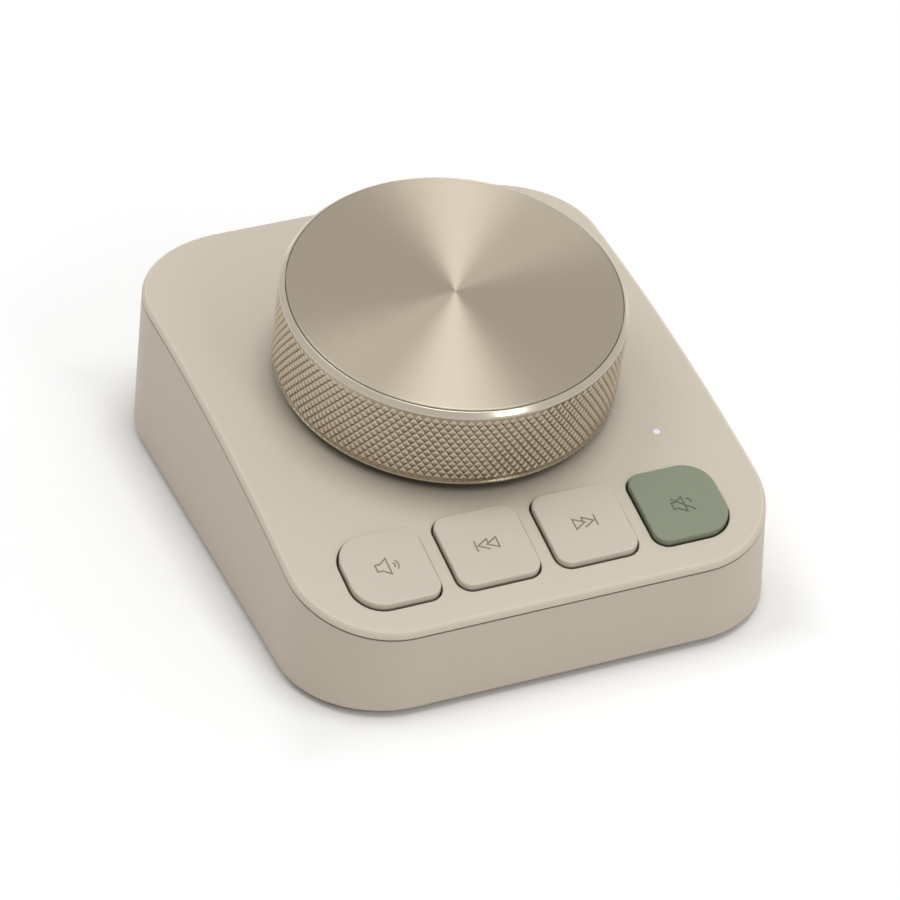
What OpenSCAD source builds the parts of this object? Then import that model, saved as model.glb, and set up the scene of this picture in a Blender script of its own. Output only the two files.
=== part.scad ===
// Desk volume controller: a sloping case with a large knurled knob and four keys in front of it.
// Millimetres. +X runs to the right, +Y to the back, +Z up. The origin is at the centre of the
// footprint, on the surface that the pad stands on.

/* [Case] */
// Width of the case at its foot
body_w = 80; // [74:1:92]
// Depth of the case at its foot
body_d = 96; // [92:1:108]
// Radius of the two front corners at the foot
front_r = 16; // [13:0.5:18]
// Radius of the two back corners at the foot
back_r = 19; // [16:0.5:20]
// Thickness of the side walls
wall_t = 2.4; // [2:0.1:3]
// Inward lean of the walls for each unit of height
lean = 0.045; // [0.02:0.005:0.05]
// Height of the case above the surface that it stands on
stand_h = 1; // [0.6:0.1:2]
// Height of the parting line above the foot, at mid depth
seam_h = 22.3; // [21.5:0.1:26.5]
// Radius of the deck's crown, front to back
crown_r = 300; // [280:5:360]
// Distance of the crown's highest line behind mid depth
crown_y = 33; // [30:1:38]
// Rounding along the foot of the walls
foot_edge = 0.5; // [0.2:0.05:0.6]

/* [Deck] */
// Height of the cover's edge above the parting line
rim_h = 1.1; // [0.9:0.1:1.6]
// Width of the rounding along the cover's edge
edge_r = 1.5; // [0.8:0.1:2]
// Depth that the cover drops inside the walls
plug_h = 1.3; // [1:0.1:1.8]
// Gap between the cover and the inside of the walls
plug_fit = 0.1; // [0.05:0.01:0.2]
// Height of the shadow line under the cover
reveal_h = 0.25; // [0.15:0.05:0.4]
// Depth of the shadow line
reveal_d = 0.6; // [0.3:0.1:0.9]

/* [Base] */
// Thickness of the base plate
plate_t = 2.2; // [2:0.1:3]
// Wall that is left round the base plate
plate_lip = 1.2; // [1:0.1:1.5]
// Gap round the base plate
plate_fit = 0.12; // [0.05:0.01:0.2]
// Rise of the base plate's face above the foot of the walls
plate_sink = 0.2; // [0.1:0.05:0.4]
// Distance from the edge of the case to the pad
pad_margin = 11; // [10:0.5:15]
// Corner radius of the pad
pad_r = 11; // [6:0.5:13]
// Depth of the pad's seat in the base plate
pad_seat = 0.5; // [0.3:0.1:0.8]
// Distance from the edges of the case to each rear case screw
post_in = 10.4; // [10.2:0.1:11]
// Distance from the sides of the case to each front case screw
front_post_in = 7.8; // [7.6:0.1:8]
// Gap between the posts of the front case screws and the frame that the keys slide in
post_clear = 1.6; // [1:0.1:3]
// Radius of the posts that take the case screws
post_r = 2.8; // [2.5:0.1:2.9]

/* [Knob] */
// Radius of the knob over its knurl
knob_r = 27.25; // [25:0.25:28]
// Height of the knob from its lower rim to its face
knob_h = 15; // [14.5:0.1:18]
// Height of the knob's lower rim above the deck, at the knob's axis
knob_gap = 2.2; // [2:0.1:3]
// Lean of the knob's axis towards the front, in degrees
knob_lean = 8.6; // [7:0.1:9]
// Width of the ring round the brushed face plate
ring_w = 1.05; // [0.9:0.05:2]
// Thickness of the brushed face plate
cap_t = 0.8; // [0.6:0.1:1.2]
// Height of the brushed face plate above the ring round it
cap_rise = 0.2; // [0.1:0.05:0.4]
// Gap round the brushed face plate
cap_fit = 0.1; // [0.08:0.01:0.2]
// Width of the polished lip round the face plate
lip_w = 0.2; // [0.15:0.05:0.3]
// Height of the chamfer at the top edge of the knob
chamfer_h = 0.75; // [0.5:0.05:1.5]
// Plain band above the knurl
top_band_h = 0.4; // [0.3:0.1:1]
// Plain band below the knurl
low_band_h = 0.9; // [0.5:0.1:1.5]
// Depth of the knurl
knurl_d = 0.45; // [0.3:0.05:0.6]
// Thickness of the knob's outer wall
grip_wall = 2.4; // [2:0.1:3]
// Thickness of the web under the face plate
web_t = 2.2; // [2:0.1:2.6]
// Pyramids in one row of the knurl
knurl_n = 128; // [60:2:130]
// Rows of pyramids in the knurl
knurl_rows = 7; // [5:1:8]

/* [Encoder] */
// Radius of the shaft
shaft_r = 3; // [2.8:0.05:3.1]
// Height of the flat above the shaft's axis
flat_r = 1.5; // [1.2:0.1:2]
// Radial gap between the shaft and its bushing
shaft_fit = 0.04; // [0.02:0.01:0.08]
// Radius of the threaded bushing
bushing_r = 4.5; // [4.2:0.1:4.8]
// Height of the bushing above the deck
bushing_h = 2.5; // [2.4:0.1:2.6]
// Width of the encoder body
encoder_w = 12.4; // [11.6:0.1:13]
// Depth of the encoder body
encoder_d = 13.2; // [12.4:0.1:14]
// Height of the encoder body under the deck
encoder_h = 6.5; // [6.4:0.1:7]
// Travel of the knob when it is pressed
press_travel = 0.5; // [0.3:0.05:0.6]

/* [Keys] */
// Distance from each side of the case to the row of wells
row_margin = 8.6; // [8.4:0.1:10]
// Width of the web between two wells
key_web = 2.2; // [1.8:0.1:3]
// Depth of a key's well
well_d = 14.4; // [13.5:0.1:14.6]
// Distance from the front of the case to the row of wells
key_margin = 5.1; // [5:0.1:7]
// Distance from the row of wells to the knob
key_clear = 2.55; // [2:0.05:4]
// Gap round each key
key_gap = 0.3; // [0.2:0.05:0.4]
// Height of the keys above the deck
key_rise = 0.95; // [0.8:0.05:1.4]
// Rounding along the top edge of a key
key_edge = 0.55; // [0.3:0.05:0.8]
// Corner radius of the wells
well_r = 2.6; // [2:0.1:3.2]
// Difference between the front corners of the case and the outer corners of the row, in radius
row_inset = 10.8; // [10:0.1:12]
// Travel of a key
key_travel = 0.6; // [0.4:0.05:0.7]

/* [Electronics] */
// Gap between the control board and the posts beside it
board_gap = 0.9; // [0.5:0.1:1.5]
// Thickness of the boards
board_t = 1.6; // [1:0.1:1.8]
// Width of the main board
main_w = 30; // [28:1:36]
// Depth of the main board
main_d = 17; // [16:0.5:18]
// Height of the main board's top face
main_z = 7.4; // [7:0.1:8]
// Width of the socket's mouth
socket_w = 8.94; // [8.6:0.02:9.2]
// Height of the socket's mouth
socket_h = 3.26; // [3.1:0.02:3.4]
// Length of the socket
socket_l = 7.3; // [6.8:0.1:8]
// Thickness of the ballast plate
ballast_t = 4; // [3:0.1:4.4]
// Distance from the side of the case to the status light
led_in = 13; // [12.6:0.1:13.8]
// Distance of the status light in front of the knob's axis
led_v = 22; // [21.6:0.1:23.5]
// Radius of the status light's window
led_r = 0.55; // [0.4:0.05:0.8]

/* [Hidden] */
$fn = 72;

// Clearances and overruns
cut = 1;
touch = 0.02;
thread_fit = 0.02;
slip = 0.1;

// Colours
deck_colour = [0.80, 0.76, 0.70];
wall_colour = [0.72, 0.67, 0.61];
green_colour = [0.55, 0.60, 0.50];
metal_colour = [0.74, 0.68, 0.60];
steel_colour = [0.75, 0.75, 0.76];
board_colour = [0.10, 0.30, 0.20];
dark_colour = [0.12, 0.12, 0.13];

// Case screws, board screws and their heads
screw_r = 1.25;
screw_l = 8;
head_r = 2.4;
head_h = 1.1;
drive_r = 0.7;
drive_depth_share = 0.6;
small_r = 1;
small_head_r = 1.9;
small_head_h = 0.9;
small_l = 4;

// Heights of the base
foot_z = stand_h;
plate_z = foot_z + plate_sink;
floor_z = plate_z + plate_t;
pad_t = plate_z + pad_seat;
pad_edge = 0.4;
plate_mid = floor_z - plate_t / 2;
plate_head_seat = head_h + slip;

// Row of keys, measured from the front and the sides of the case, and the knob behind it
key_count = 4;
well_w = (body_w - 2 * row_margin - (key_count - 1) * key_web) / key_count;
key_pitch = well_w + key_web;
key_row = knob_r + key_clear + well_d / 2;
outer_r = front_r - row_inset;
knob_y = key_margin + (well_d + key_clear + knob_r) * cos(knob_lean) - body_d / 2;

// Crown of the deck: circles about one line, seen from the side
axis_z = foot_z + seam_h - sqrt(crown_r * crown_r - crown_y * crown_y);
deck_r = crown_r + rim_h;
function crown_z(y, rise) = axis_z + sqrt(pow(crown_r + rise, 2) - pow(y - crown_y, 2));

// Frame of the knob: w is the height along its axis above the deck, v the distance behind it
knob_z = crown_z(knob_y, rim_h);
crown_v = (crown_y - knob_y) * cos(knob_lean) - (knob_z - axis_z) * sin(knob_lean);
crown_w = -(knob_z - axis_z) * cos(knob_lean) - (crown_y - knob_y) * sin(knob_lean);
function deck_w(v, rise) = crown_w + sqrt(pow(deck_r + rise, 2) - pow(v - crown_v, 2));
function world_y(v, w) = knob_y + v * cos(knob_lean) - w * sin(knob_lean);
function world_z(v, w) = knob_z + v * sin(knob_lean) + w * cos(knob_lean);

module on_knob() {
    translate([0, knob_y, knob_z]) rotate([knob_lean, 0, 0]) children();
}

// Outline of the case: right half from front to back, then the left half from back to front
corner_steps = 10;
side_steps = 10;
foot_steps = 3;
function right_half() = concat(
    [for (i = [0 : corner_steps]) let (a = 90 * i / corner_steps - 90)
        [body_w / 2 - front_r * (1 - cos(a)), front_r * (1 + sin(a)) - body_d / 2, cos(a), sin(a)]],
    [for (i = [1 : side_steps - 1])
        [body_w / 2, front_r - body_d / 2 + (body_d - front_r - back_r) * i / side_steps, 1, 0]],
    [for (i = [0 : corner_steps]) let (a = 90 * i / corner_steps)
        [body_w / 2 - back_r * (1 - cos(a)), body_d / 2 - back_r * (1 - sin(a)), cos(a), sin(a)]]);
function inset_point(p, inset, z) = let (s = inset + lean * (z - foot_z)) [p[0] - p[2] * s, p[1] - p[3] * s];
function mirrored(pts) = concat(pts, [for (i = [len(pts) - 1 : -1 : 0]) [-pts[i][0], pts[i][1], pts[i][2]]]);
function flat_ring(inset, z) =
    mirrored([for (p = right_half()) let (q = inset_point(p, inset, z)) [q[0], q[1], z]]);
function crown_ring(inset, rise) =
    mirrored([for (p = right_half()) let (q = inset_point(p, inset, crown_z(p[1], rise)))
        [q[0], q[1], crown_z(q[1], rise)]]);

// Side faces between rings of n points, and the end faces in strips from left to right
function side_faces(n, rings) = [for (k = [0 : rings - 2]) for (i = [0 : n - 1]) let (j = (i + 1) % n)
    for (f = [[k * n + i, (k + 1) * n + i, (k + 1) * n + j], [k * n + i, (k + 1) * n + j, k * n + j]]) f];
function strip_faces(n, first) = [for (i = [0 : n / 2 - 2])
    [first + i, first + i + 1, first + n - 2 - i, first + n - 1 - i]];
function turned(faces) = [for (f = faces) [for (i = [len(f) - 1 : -1 : 0]) f[i]]];

module case_block(rings) {
    n = len(rings[0]);
    polyhedron(points = [for (r = rings) each r],
        faces = concat(side_faces(n, len(rings)), strip_faces(n, 0),
            turned(strip_faces(n, n * (len(rings) - 1)))));
}

// Rounded rectangle with its own radius at each corner: front right, back right, back left, front left
function soft_rect(w, d, radii, inset, steps) = [for (c = [0 : 3]) for (i = [0 : steps])
    let (r = radii[c] - inset, a = 90 * (c - 1 + i / steps),
        x = (c < 2 ? 1 : -1) * (w / 2 - inset - r), y = (c == 1 || c == 2 ? 1 : -1) * (d / 2 - inset - r))
    [x + r * cos(a), y + r * sin(a)]];

module rounded_plate(w, d, r, h) {
    linear_extrude(h) {
        square([w - 2 * r, d], center = true);
        square([w, d - 2 * r], center = true);
        for (x = [-1, 1]) for (y = [-1, 1]) translate([x * (w / 2 - r), y * (d / 2 - r)]) circle(r);
    }
}

module screw(thread_r, length, top_r, top_h, socket_r) {
    difference() {
        union() {
            cylinder(h = length, r = thread_r);
            translate([0, 0, -top_h]) cylinder(h = top_h, r = top_r);
        }
        translate([0, 0, -top_h - cut]) cylinder(h = cut + top_h * drive_depth_share, r = socket_r, $fn = 6);
    }
}

module at_case_posts() {
    for (p = [front_post, rear_post]) for (i = [-1, 1]) translate([i * p[0], p[1], 0]) children();
}

// Encoder seat, spot face and window in the deck
seat_drop = 0.6;
encoder_seat_w = -(rim_h + plug_h + seat_drop);
seat_r = 9.6;
bushing_fit = 0.1;
spot_r = 7.4;
spot_d = 0.4;
washer_r = 7;
washer_t = 0.4;
nut_af = 11;
nut_t = 1.9;

// Posts under the cover
guide_w = 1.2;
guide_drop = 4.9;
rear_post = [body_w / 2 - post_in, body_d / 2 - post_in];
front_post = [body_w / 2 - front_post_in,
    world_y(well_d / 2 + guide_w - key_row, -guide_drop) + post_clear + post_r];
post_hole_depth = screw_l + cut;

// Front edge of the board at the back of the case
main_gap = 1;
main_front = body_d / 2 - wall_t - main_d - main_gap;

// Control board, with room for the ribbon between the two boards, and the posts that it hangs from
board_w = body_w - 2 * (front_post_in + post_r + board_gap);
board_margin = 5;
ribbon_room = 9.3;
board_front = key_row + board_margin;
board_top = encoder_seat_w - encoder_h;
board_under = board_top - board_t;
board_back = (main_front - ribbon_room - knob_y + board_under * sin(knob_lean)) / cos(knob_lean);
board_r = 4;
board_post_r = 2.4;
board_post_in = 5.5;
board_hole_in = 4;
board_post_x = board_w / 2 - board_post_in;
board_post_back = board_back - board_hole_in;
board_post_front = 18;
led_x = body_w / 2 - led_in;

// Keys
key_steps = 7;
key_wall = 1.2;
key_top = 1.4;
flange = 0.7;
flange_t = 0.8;
flange_top = -(guide_drop + slip);
stem_r = 2.4;
switch_w = 5.2;
switch_h = 2.5;
button_r = 1.7;
button_fit = 0.1;
button_down = 1;
button_top = flange_top - flange_t - touch;
button_up = button_top - board_top - switch_h;
key_radii = [
    [well_r, well_r, outer_r, outer_r],
    [well_r, well_r, well_r, well_r],
    [well_r, well_r, well_r, well_r],
    [outer_r, outer_r, well_r, well_r]];
function key_x(k) = (k - (key_count - 1) / 2) * key_pitch;

module at_key(k) {
    translate([key_x(k), -key_row, 0]) children();
}

// A block with the outline of key k: a flat foot at height w0 and a crowned, edge-rounded top
edge_steps = 4;
function key_ring(k, inset, rise) = [for (p = soft_rect(well_w, well_d, key_radii[k], inset, key_steps))
    [key_x(k) + p[0], p[1] - key_row, deck_w(p[1] - key_row, rise)]];
function key_foot(k, inset, w0) = [for (p = soft_rect(well_w, well_d, key_radii[k], inset, key_steps))
    [key_x(k) + p[0], p[1] - key_row, w0]];
function fan(n, first, hub) = [for (i = [0 : n - 1]) [first + i, first + (i + 1) % n, hub]];

module key_block(k, inset, w0, rise, rounding) {
    rings = concat([key_foot(k, inset, w0)],
        [for (i = [0 : rounding > 0 ? edge_steps : 0]) let (a = 90 * i / edge_steps)
            key_ring(k, inset + rounding * (1 - cos(a)), rise - rounding * (1 - sin(a)))]);
    n = len(rings[0]);
    last = n * (len(rings) - 1);
    polyhedron(
        points = concat([for (r = rings) each r],
            [[key_x(k), -key_row, w0], [key_x(k), -key_row, deck_w(-key_row, rise)]]),
        faces = concat(side_faces(n, len(rings)), fan(n, 0, n * len(rings)),
            turned(fan(n, last, n * len(rings) + 1))));
}

module top_cover() {
    color(deck_colour) difference() {
        union() {
            case_block(concat([for (i = [0 : edge_steps]) let (a = 90 * i / edge_steps)
                crown_ring(edge_r * (1 - cos(a)), rim_h * sin(a))]));
            case_block([crown_ring(wall_t + plug_fit, -plug_h), crown_ring(wall_t + plug_fit, rim_h / 2)]);
            for (p = [front_post, rear_post]) for (i = [-1, 1])
                translate([i * p[0], p[1], floor_z + touch])
                    cylinder(h = crown_z(p[1], 0) - floor_z - touch, r = post_r);
            on_knob() board_posts();
            on_knob() translate([0, 0, encoder_seat_w]) cylinder(h = seat_drop + plug_h, r = seat_r);
            on_knob() key_guides();
        }
        at_case_posts() translate([0, 0, floor_z - cut])
            cylinder(h = cut + post_hole_depth, r = screw_r + thread_fit);
        on_knob() deck_openings();
    }
}

module board_posts() {
    for (i = [-1, 1]) for (v = [-board_post_front, board_post_back])
        translate([i * board_post_x, v, board_top])
            cylinder(h = deck_w(v, -rim_h) - board_top, r = board_post_r);
}

// Frame under the deck that the keys slide in, and that their flanges stop against
module key_guides() {
    difference() {
        translate([0, -key_row, -guide_drop])
            linear_extrude(guide_drop - rim_h - plug_h / 2)
                polygon(soft_rect((key_count - 1) * key_pitch + well_w, well_d,
                    [outer_r, outer_r, outer_r, outer_r], -guide_w, key_steps));
        key_guide_roof();
    }
}

// Space above the deck's mid-plane, which trims the guide frame to the crown
module key_guide_roof() {
    translate([0, crown_v, crown_w]) rotate([90, 0, 90]) linear_extrude(body_w, center = true) difference() {
        translate([-body_d, 0]) square([body_d, deck_r + body_d]);
        circle(deck_r - rim_h, $fn = 240);
    }
}

module deck_openings() {
    translate([0, 0, encoder_seat_w - cut])
        cylinder(h = 2 * cut - encoder_seat_w, r = bushing_r + bushing_fit);
    translate([0, 0, -spot_d]) cylinder(h = spot_d + cut, r = spot_r);
    translate([led_x, -led_v, -guide_drop]) cylinder(h = guide_drop + cut, r = led_r + thread_fit);
    for (k = [0 : key_count - 1]) at_key(k) translate([0, 0, -guide_drop - cut])
        linear_extrude(guide_drop + 2 * cut) polygon(soft_rect(well_w, well_d, key_radii[k], 0, key_steps));
    for (i = [-1, 1]) for (v = [-board_post_front, board_post_back])
        translate([i * board_post_x, v, board_top - cut])
            cylinder(h = cut + small_l, r = small_r + thread_fit);
}

module lower_shell() {
    color(wall_colour) difference() {
        union() {
            case_block(concat([for (i = [0 : foot_steps]) let (a = 90 * i / foot_steps)
                flat_ring(foot_edge * (1 - sin(a)), foot_z + foot_edge * (1 - cos(a)))],
                [crown_ring(0, -reveal_h)]));
            case_block([flat_ring(reveal_d, foot_z + plate_t), crown_ring(reveal_d, 0)]);
        }
        case_block([flat_ring(wall_t, foot_z - cut), crown_ring(wall_t, cut)]);
        case_block([flat_ring(plate_lip, foot_z - cut), flat_ring(plate_lip, floor_z)]);
        socket_opening();
    }
}

// Opening in the back wall, with a shallow recess for the plug's shell
socket_gap = 0.15;
recess_w = 12;
recess_h = 6.4;
recess_d = 0.8;
socket_z = main_z + socket_h / 2;
socket_back = body_d / 2 - lean * (socket_z - foot_z) - recess_d;

module slot_outline(w, h) {
    square([w - h, h], center = true);
    for (x = [-1, 1]) translate([x * (w - h) / 2, 0]) circle(h / 2);
}

module slot_block(w, h, length) {
    rotate([-90, 0, 0]) linear_extrude(length) slot_outline(w, h);
}

module socket_opening() {
    translate([0, socket_back - wall_t - cut, socket_z])
        slot_block(socket_w + 2 * socket_gap, socket_h + 2 * socket_gap, wall_t + 2 * cut + recess_d);
    translate([0, socket_back, socket_z]) slot_block(recess_w, recess_h, recess_d + cut);
}

module base_plate() {
    color(dark_colour) difference() {
        union() {
            case_block([for (z = [plate_z, floor_z - touch]) flat_ring(plate_lip + plate_fit, z)]);
            at_main_posts() translate([0, 0, plate_mid])
                cylinder(h = main_z - board_t - plate_mid, r = main_post_r);
            at_ballast_posts() translate([0, 0, plate_mid])
                cylinder(h = ballast_post_top - plate_mid, r = ballast_post_r);
        }
        translate([0, 0, plate_z - cut])
            rounded_plate(body_w - 2 * pad_margin, body_d - 2 * pad_margin, pad_r, cut + pad_seat);
        at_case_posts() {
            translate([0, 0, plate_z - cut]) cylinder(h = cut + plate_head_seat, r = head_r + slip);
            translate([0, 0, plate_z - cut]) cylinder(h = plate_t + 2 * cut, r = screw_r + slip);
        }
        at_main_posts() translate([0, 0, plate_mid + slip]) cylinder(h = main_z, r = small_r + thread_fit);
        at_ballast_posts() translate([0, 0, plate_mid + slip]) cylinder(h = main_z, r = small_r + thread_fit);
    }
}

module base_pad() {
    w = body_w - 2 * pad_margin - 2 * slip;
    d = body_d - 2 * pad_margin - 2 * slip;
    color(dark_colour) {
        translate([0, 0, pad_edge]) rounded_plate(w, d, pad_r - slip, pad_t - pad_edge);
        rounded_plate(w - 2 * pad_edge, d - 2 * pad_edge, pad_r - slip - pad_edge, pad_edge);
    }
}

module case_screws() {
    color(steel_colour) at_case_posts() translate([0, 0, plate_z + plate_head_seat])
        screw(screw_r, screw_l, head_r, head_h, drive_r * head_r / small_head_r);
}

// Ballast plate, with two screws into posts of the base plate. Its front edge is where the
// sloping board leaves room above it, or at its own distance from the front of the case.
ballast_gap = 3.4;
ballast_back_gap = 5.1;
ballast_nose = 21.3;
ballast_headroom = 1.6;
ballast_room_y = knob_y + (floor_z + ballast_t + ballast_headroom - knob_z - board_under / cos(knob_lean))
    / tan(knob_lean);
ballast_front = max(ballast_nose - body_d / 2, ballast_room_y);
ballast_back = main_front - ballast_back_gap;
ballast_w = board_w + 2 * board_gap - 2 * ballast_gap;
ballast_d = ballast_back - ballast_front;
ballast_y = (ballast_front + ballast_back) / 2;
ballast_r = 5;
ballast_post_in = 7;
ballast_post_x = ballast_w / 2 - ballast_post_in;
ballast_post_r = 2.2;
ballast_post_top = floor_z + ballast_t / 2;

module at_ballast_posts() {
    for (i = [-1, 1]) translate([i * ballast_post_x, ballast_y, 0]) children();
}

module ballast() {
    color(steel_colour) difference() {
        translate([0, ballast_y, floor_z]) rounded_plate(ballast_w, ballast_d, ballast_r, ballast_t);
        at_ballast_posts() translate([0, 0, floor_z - cut]) {
            cylinder(h = cut + ballast_post_top - floor_z + touch, r = ballast_post_r + slip);
            cylinder(h = 2 * cut + ballast_t, r = small_r + slip);
        }
    }
}

module ballast_screws() {
    color(steel_colour) at_ballast_posts() translate([0, 0, floor_z + ballast_t + touch])
        rotate([180, 0, 0]) screw(small_r, small_l, small_head_r, small_head_h, drive_r);
}

// Board under the deck: it carries the encoder, the key switches and the status light
module control_board() {
    color(board_colour) on_knob() difference() {
        translate([0, (board_back - board_front) / 2, board_under])
            rounded_plate(board_w, board_front + board_back, board_r, board_t);
        for (i = [-1, 1]) for (v = [-board_post_front, board_post_back])
            translate([i * board_post_x, v, board_under - cut])
                cylinder(h = board_t + 2 * cut, r = small_r + slip);
        encoder_terminals(slip);
    }
}

module control_board_screws() {
    color(steel_colour) on_knob() for (i = [-1, 1]) for (v = [-board_post_front, board_post_back])
        translate([i * board_post_x, v, board_under - touch])
            screw(small_r, small_l, small_head_r, small_head_h, drive_r);
}

// Terminals of the encoder, through the board
terminal_w = 0.8;
terminal_l = 2.8;
terminal_pitch = 2.5;
terminal_v = 5.6;
terminal_rows_share = [[-1, 0, 1], [-1, 1]];

module encoder_terminals(gap) {
    for (row = [0, 1]) for (i = terminal_rows_share[row])
        translate([i * terminal_pitch, (2 * row - 1) * terminal_v, board_top - terminal_l / 2 + touch])
            cube([terminal_w + 2 * gap, terminal_w + 2 * gap, terminal_l], center = true);
}

// The board behind the ballast carries the socket and the controller
main_post_edge = 3.5;
main_post_x = main_w / 2 - main_post_edge;
main_post_in = 2.6;
main_post_r = 2.2;

module at_main_posts() {
    for (i = [-1, 1]) for (y = [main_post_in, main_d - main_post_in])
        translate([i * main_post_x, main_front + y, 0]) children();
}

module main_board() {
    color(board_colour) difference() {
        translate([0, main_front + main_d / 2, main_z - board_t])
            rounded_plate(main_w, main_d, small_r, board_t);
        at_main_posts() translate([0, 0, main_z - board_t - cut])
            cylinder(h = board_t + 2 * cut, r = small_r + slip);
    }
}

module main_board_screws() {
    color(steel_colour) at_main_posts() translate([0, 0, main_z + touch]) rotate([180, 0, 0])
        screw(small_r, small_l, small_head_r, small_head_h, drive_r);
}

chip_w = 5;
chip_t = 0.9;

module controller_chip() {
    color(dark_colour) translate([0, main_front + main_d / 2 - chip_w / 4, main_z + chip_t / 2])
        cube([chip_w, chip_w, chip_t], center = true);
}

// Small parts on the two boards
part_l = 1.6;
part_w = 0.8;
part_t = 0.5;
part_pitch = 2.4;
part_step = 1.6;

module board_parts() {
    color(metal_colour) {
        for (i = [-1, 1]) for (j = [0 : 2]) translate([i * (chip_w / 2 + part_pitch),
            main_front + main_d / 2 - chip_w / 2 + j * part_step, main_z + part_t / 2])
            cube([part_l, part_w, part_t], center = true);
        on_knob() for (i = [-1, 1]) for (j = [0 : 2])
            translate([i * (encoder_w / 2 + (1 + j) * part_pitch), -encoder_d / 2, board_under - part_t / 2])
                cube([part_w, part_l, part_t], center = true);
    }
}

// Receptacle in the back wall: a drawn metal shell round a moulded insert
socket_wall = 0.3;
tongue_w_share = 0.75;
tongue_t = 0.7;
insert_back = 1.8;

module usb_socket() {
    color(steel_colour) translate([0, socket_back - socket_l, socket_z]) difference() {
        slot_block(socket_w, socket_h, socket_l);
        translate([0, socket_wall, 0])
            slot_block(socket_w - 2 * socket_wall, socket_h - 2 * socket_wall, socket_l + cut);
    }
}

module usb_insert() {
    inner_w = socket_w - 2 * socket_wall - 2 * touch;
    inner_h = socket_h - 2 * socket_wall - 2 * touch;
    color(dark_colour) translate([0, socket_back - socket_l + socket_wall + touch, socket_z]) {
        slot_block(inner_w, inner_h, insert_back);
        translate([0, (socket_l - insert_back) / 2 + insert_back / 2 - socket_wall, 0])
            cube([inner_w * tongue_w_share, socket_l - 2 * insert_back, tongue_t], center = true);
    }
}

// Ribbon between the boards
plug_w = 12;
plug_l = 4;
plug_t = 2;
ribbon_w = 9;
ribbon_t = 0.3;
ribbon_steps = 14;
upper_plug_v = board_back - plug_l;
lower_plug_y = main_front + plug_l / 2 + slip;

function ribbon_start() = [world_y(upper_plug_v + plug_l / 2, board_under - plug_t / 2),
    world_z(upper_plug_v + plug_l / 2, board_under - plug_t / 2)];
function ribbon_end() = [lower_plug_y - plug_l / 2, main_z + plug_t / 2];
function ribbon_side(side) = let (a = ribbon_start(), b = ribbon_end())
    [for (i = [0 : ribbon_steps]) let (s = i / ribbon_steps, e = s * s * (3 - 2 * s))
        [a[0] + (b[0] - a[0]) * s, a[1] + (b[1] - a[1]) * e + side * ribbon_t / 2]];
function backwards(pts) = [for (i = [len(pts) - 1 : -1 : 0]) pts[i]];

module ribbon_cable() {
    color("white") rotate([90, 0, 90]) linear_extrude(ribbon_w, center = true)
        polygon(concat(ribbon_side(-1), backwards(ribbon_side(1))));
}

module ribbon_sockets() {
    color("ivory") {
        on_knob() translate([0, upper_plug_v, board_under - plug_t / 2])
            cube([plug_w, plug_l, plug_t], center = true);
        translate([0, lower_plug_y, main_z + plug_t / 2]) cube([plug_w, plug_l, plug_t], center = true);
    }
}

// Encoder: a moulded base, a metal frame with the threaded bushing, and the shaft
frame_t = 0.8;
rotor_r = 4.6;
rotor_t = 1.5;
rotor_gap = 0.1;
rotor_space = 0.4;
plunger_r = 3;
plunger_t = 0.9;
tip_r = 2;
shaft_top_gap = 0.4;
tape_t = 0.2;
shaft_top = knob_gap + knob_h - cap_t - tape_t - web_t - shaft_top_gap;
rotor_top = encoder_seat_w - frame_t - rotor_gap;
encoder_base_floor = board_top + frame_t;
plunger_top = encoder_base_floor + plunger_t + press_travel + rotor_gap;
claw_w = 4;
claw_t = 0.4;
claw_l = 3;

module encoder_base() {
    color(dark_colour) on_knob() {
        difference() {
            translate([0, 0, (board_top + encoder_seat_w - frame_t) / 2])
                cube([encoder_w - 2 * claw_t, encoder_d, encoder_h - frame_t], center = true);
            translate([0, 0, encoder_base_floor]) cylinder(h = encoder_h, r = plunger_r + button_fit);
            translate([0, 0, plunger_top + slip]) cylinder(h = encoder_h, r = rotor_r + rotor_space);
        }
        difference() {
            encoder_terminals(0);
            translate([0, 0, board_top + encoder_h / 2])
                cube([encoder_w, 2 * encoder_d, encoder_h], center = true);
        }
    }
}

module encoder_bushing() {
    color(steel_colour) on_knob() difference() {
        union() {
            translate([0, 0, encoder_seat_w - frame_t / 2])
                cube([encoder_w, encoder_d, frame_t], center = true);
            translate([0, 0, encoder_seat_w - frame_t])
                cylinder(h = frame_t + bushing_h - encoder_seat_w, r = bushing_r);
            for (i = [-1, 1]) translate([i * (encoder_w - claw_t) / 2, 0, encoder_seat_w - claw_l / 2])
                cube([claw_t, claw_w, claw_l], center = true);
        }
        translate([0, 0, encoder_seat_w - encoder_h])
            cylinder(h = 2 * encoder_h + bushing_h, r = shaft_r + shaft_fit);
    }
}

module encoder_washer() {
    color(steel_colour) on_knob() difference() {
        translate([0, 0, -spot_d]) cylinder(h = washer_t, r = washer_r);
        translate([0, 0, -spot_d - cut]) cylinder(h = washer_t + 2 * cut, r = bushing_r + bushing_fit);
    }
}

module encoder_nut() {
    color(steel_colour) on_knob() difference() {
        translate([0, 0, washer_t - spot_d]) cylinder(h = nut_t, r = nut_af / sqrt(3), $fn = 6);
        translate([0, 0, -cut]) cylinder(h = nut_t + 2 * cut, r = bushing_r + thread_fit);
    }
}

module press_plunger() {
    color("white") on_knob() translate([0, 0, plunger_top - plunger_t])
        cylinder(h = plunger_t, r = plunger_r);
}

module shaft_section(grow) {
    difference() {
        circle(shaft_r + grow);
        translate([flat_r + grow, -2 * shaft_r]) square([2 * shaft_r, 4 * shaft_r]);
    }
}

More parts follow.
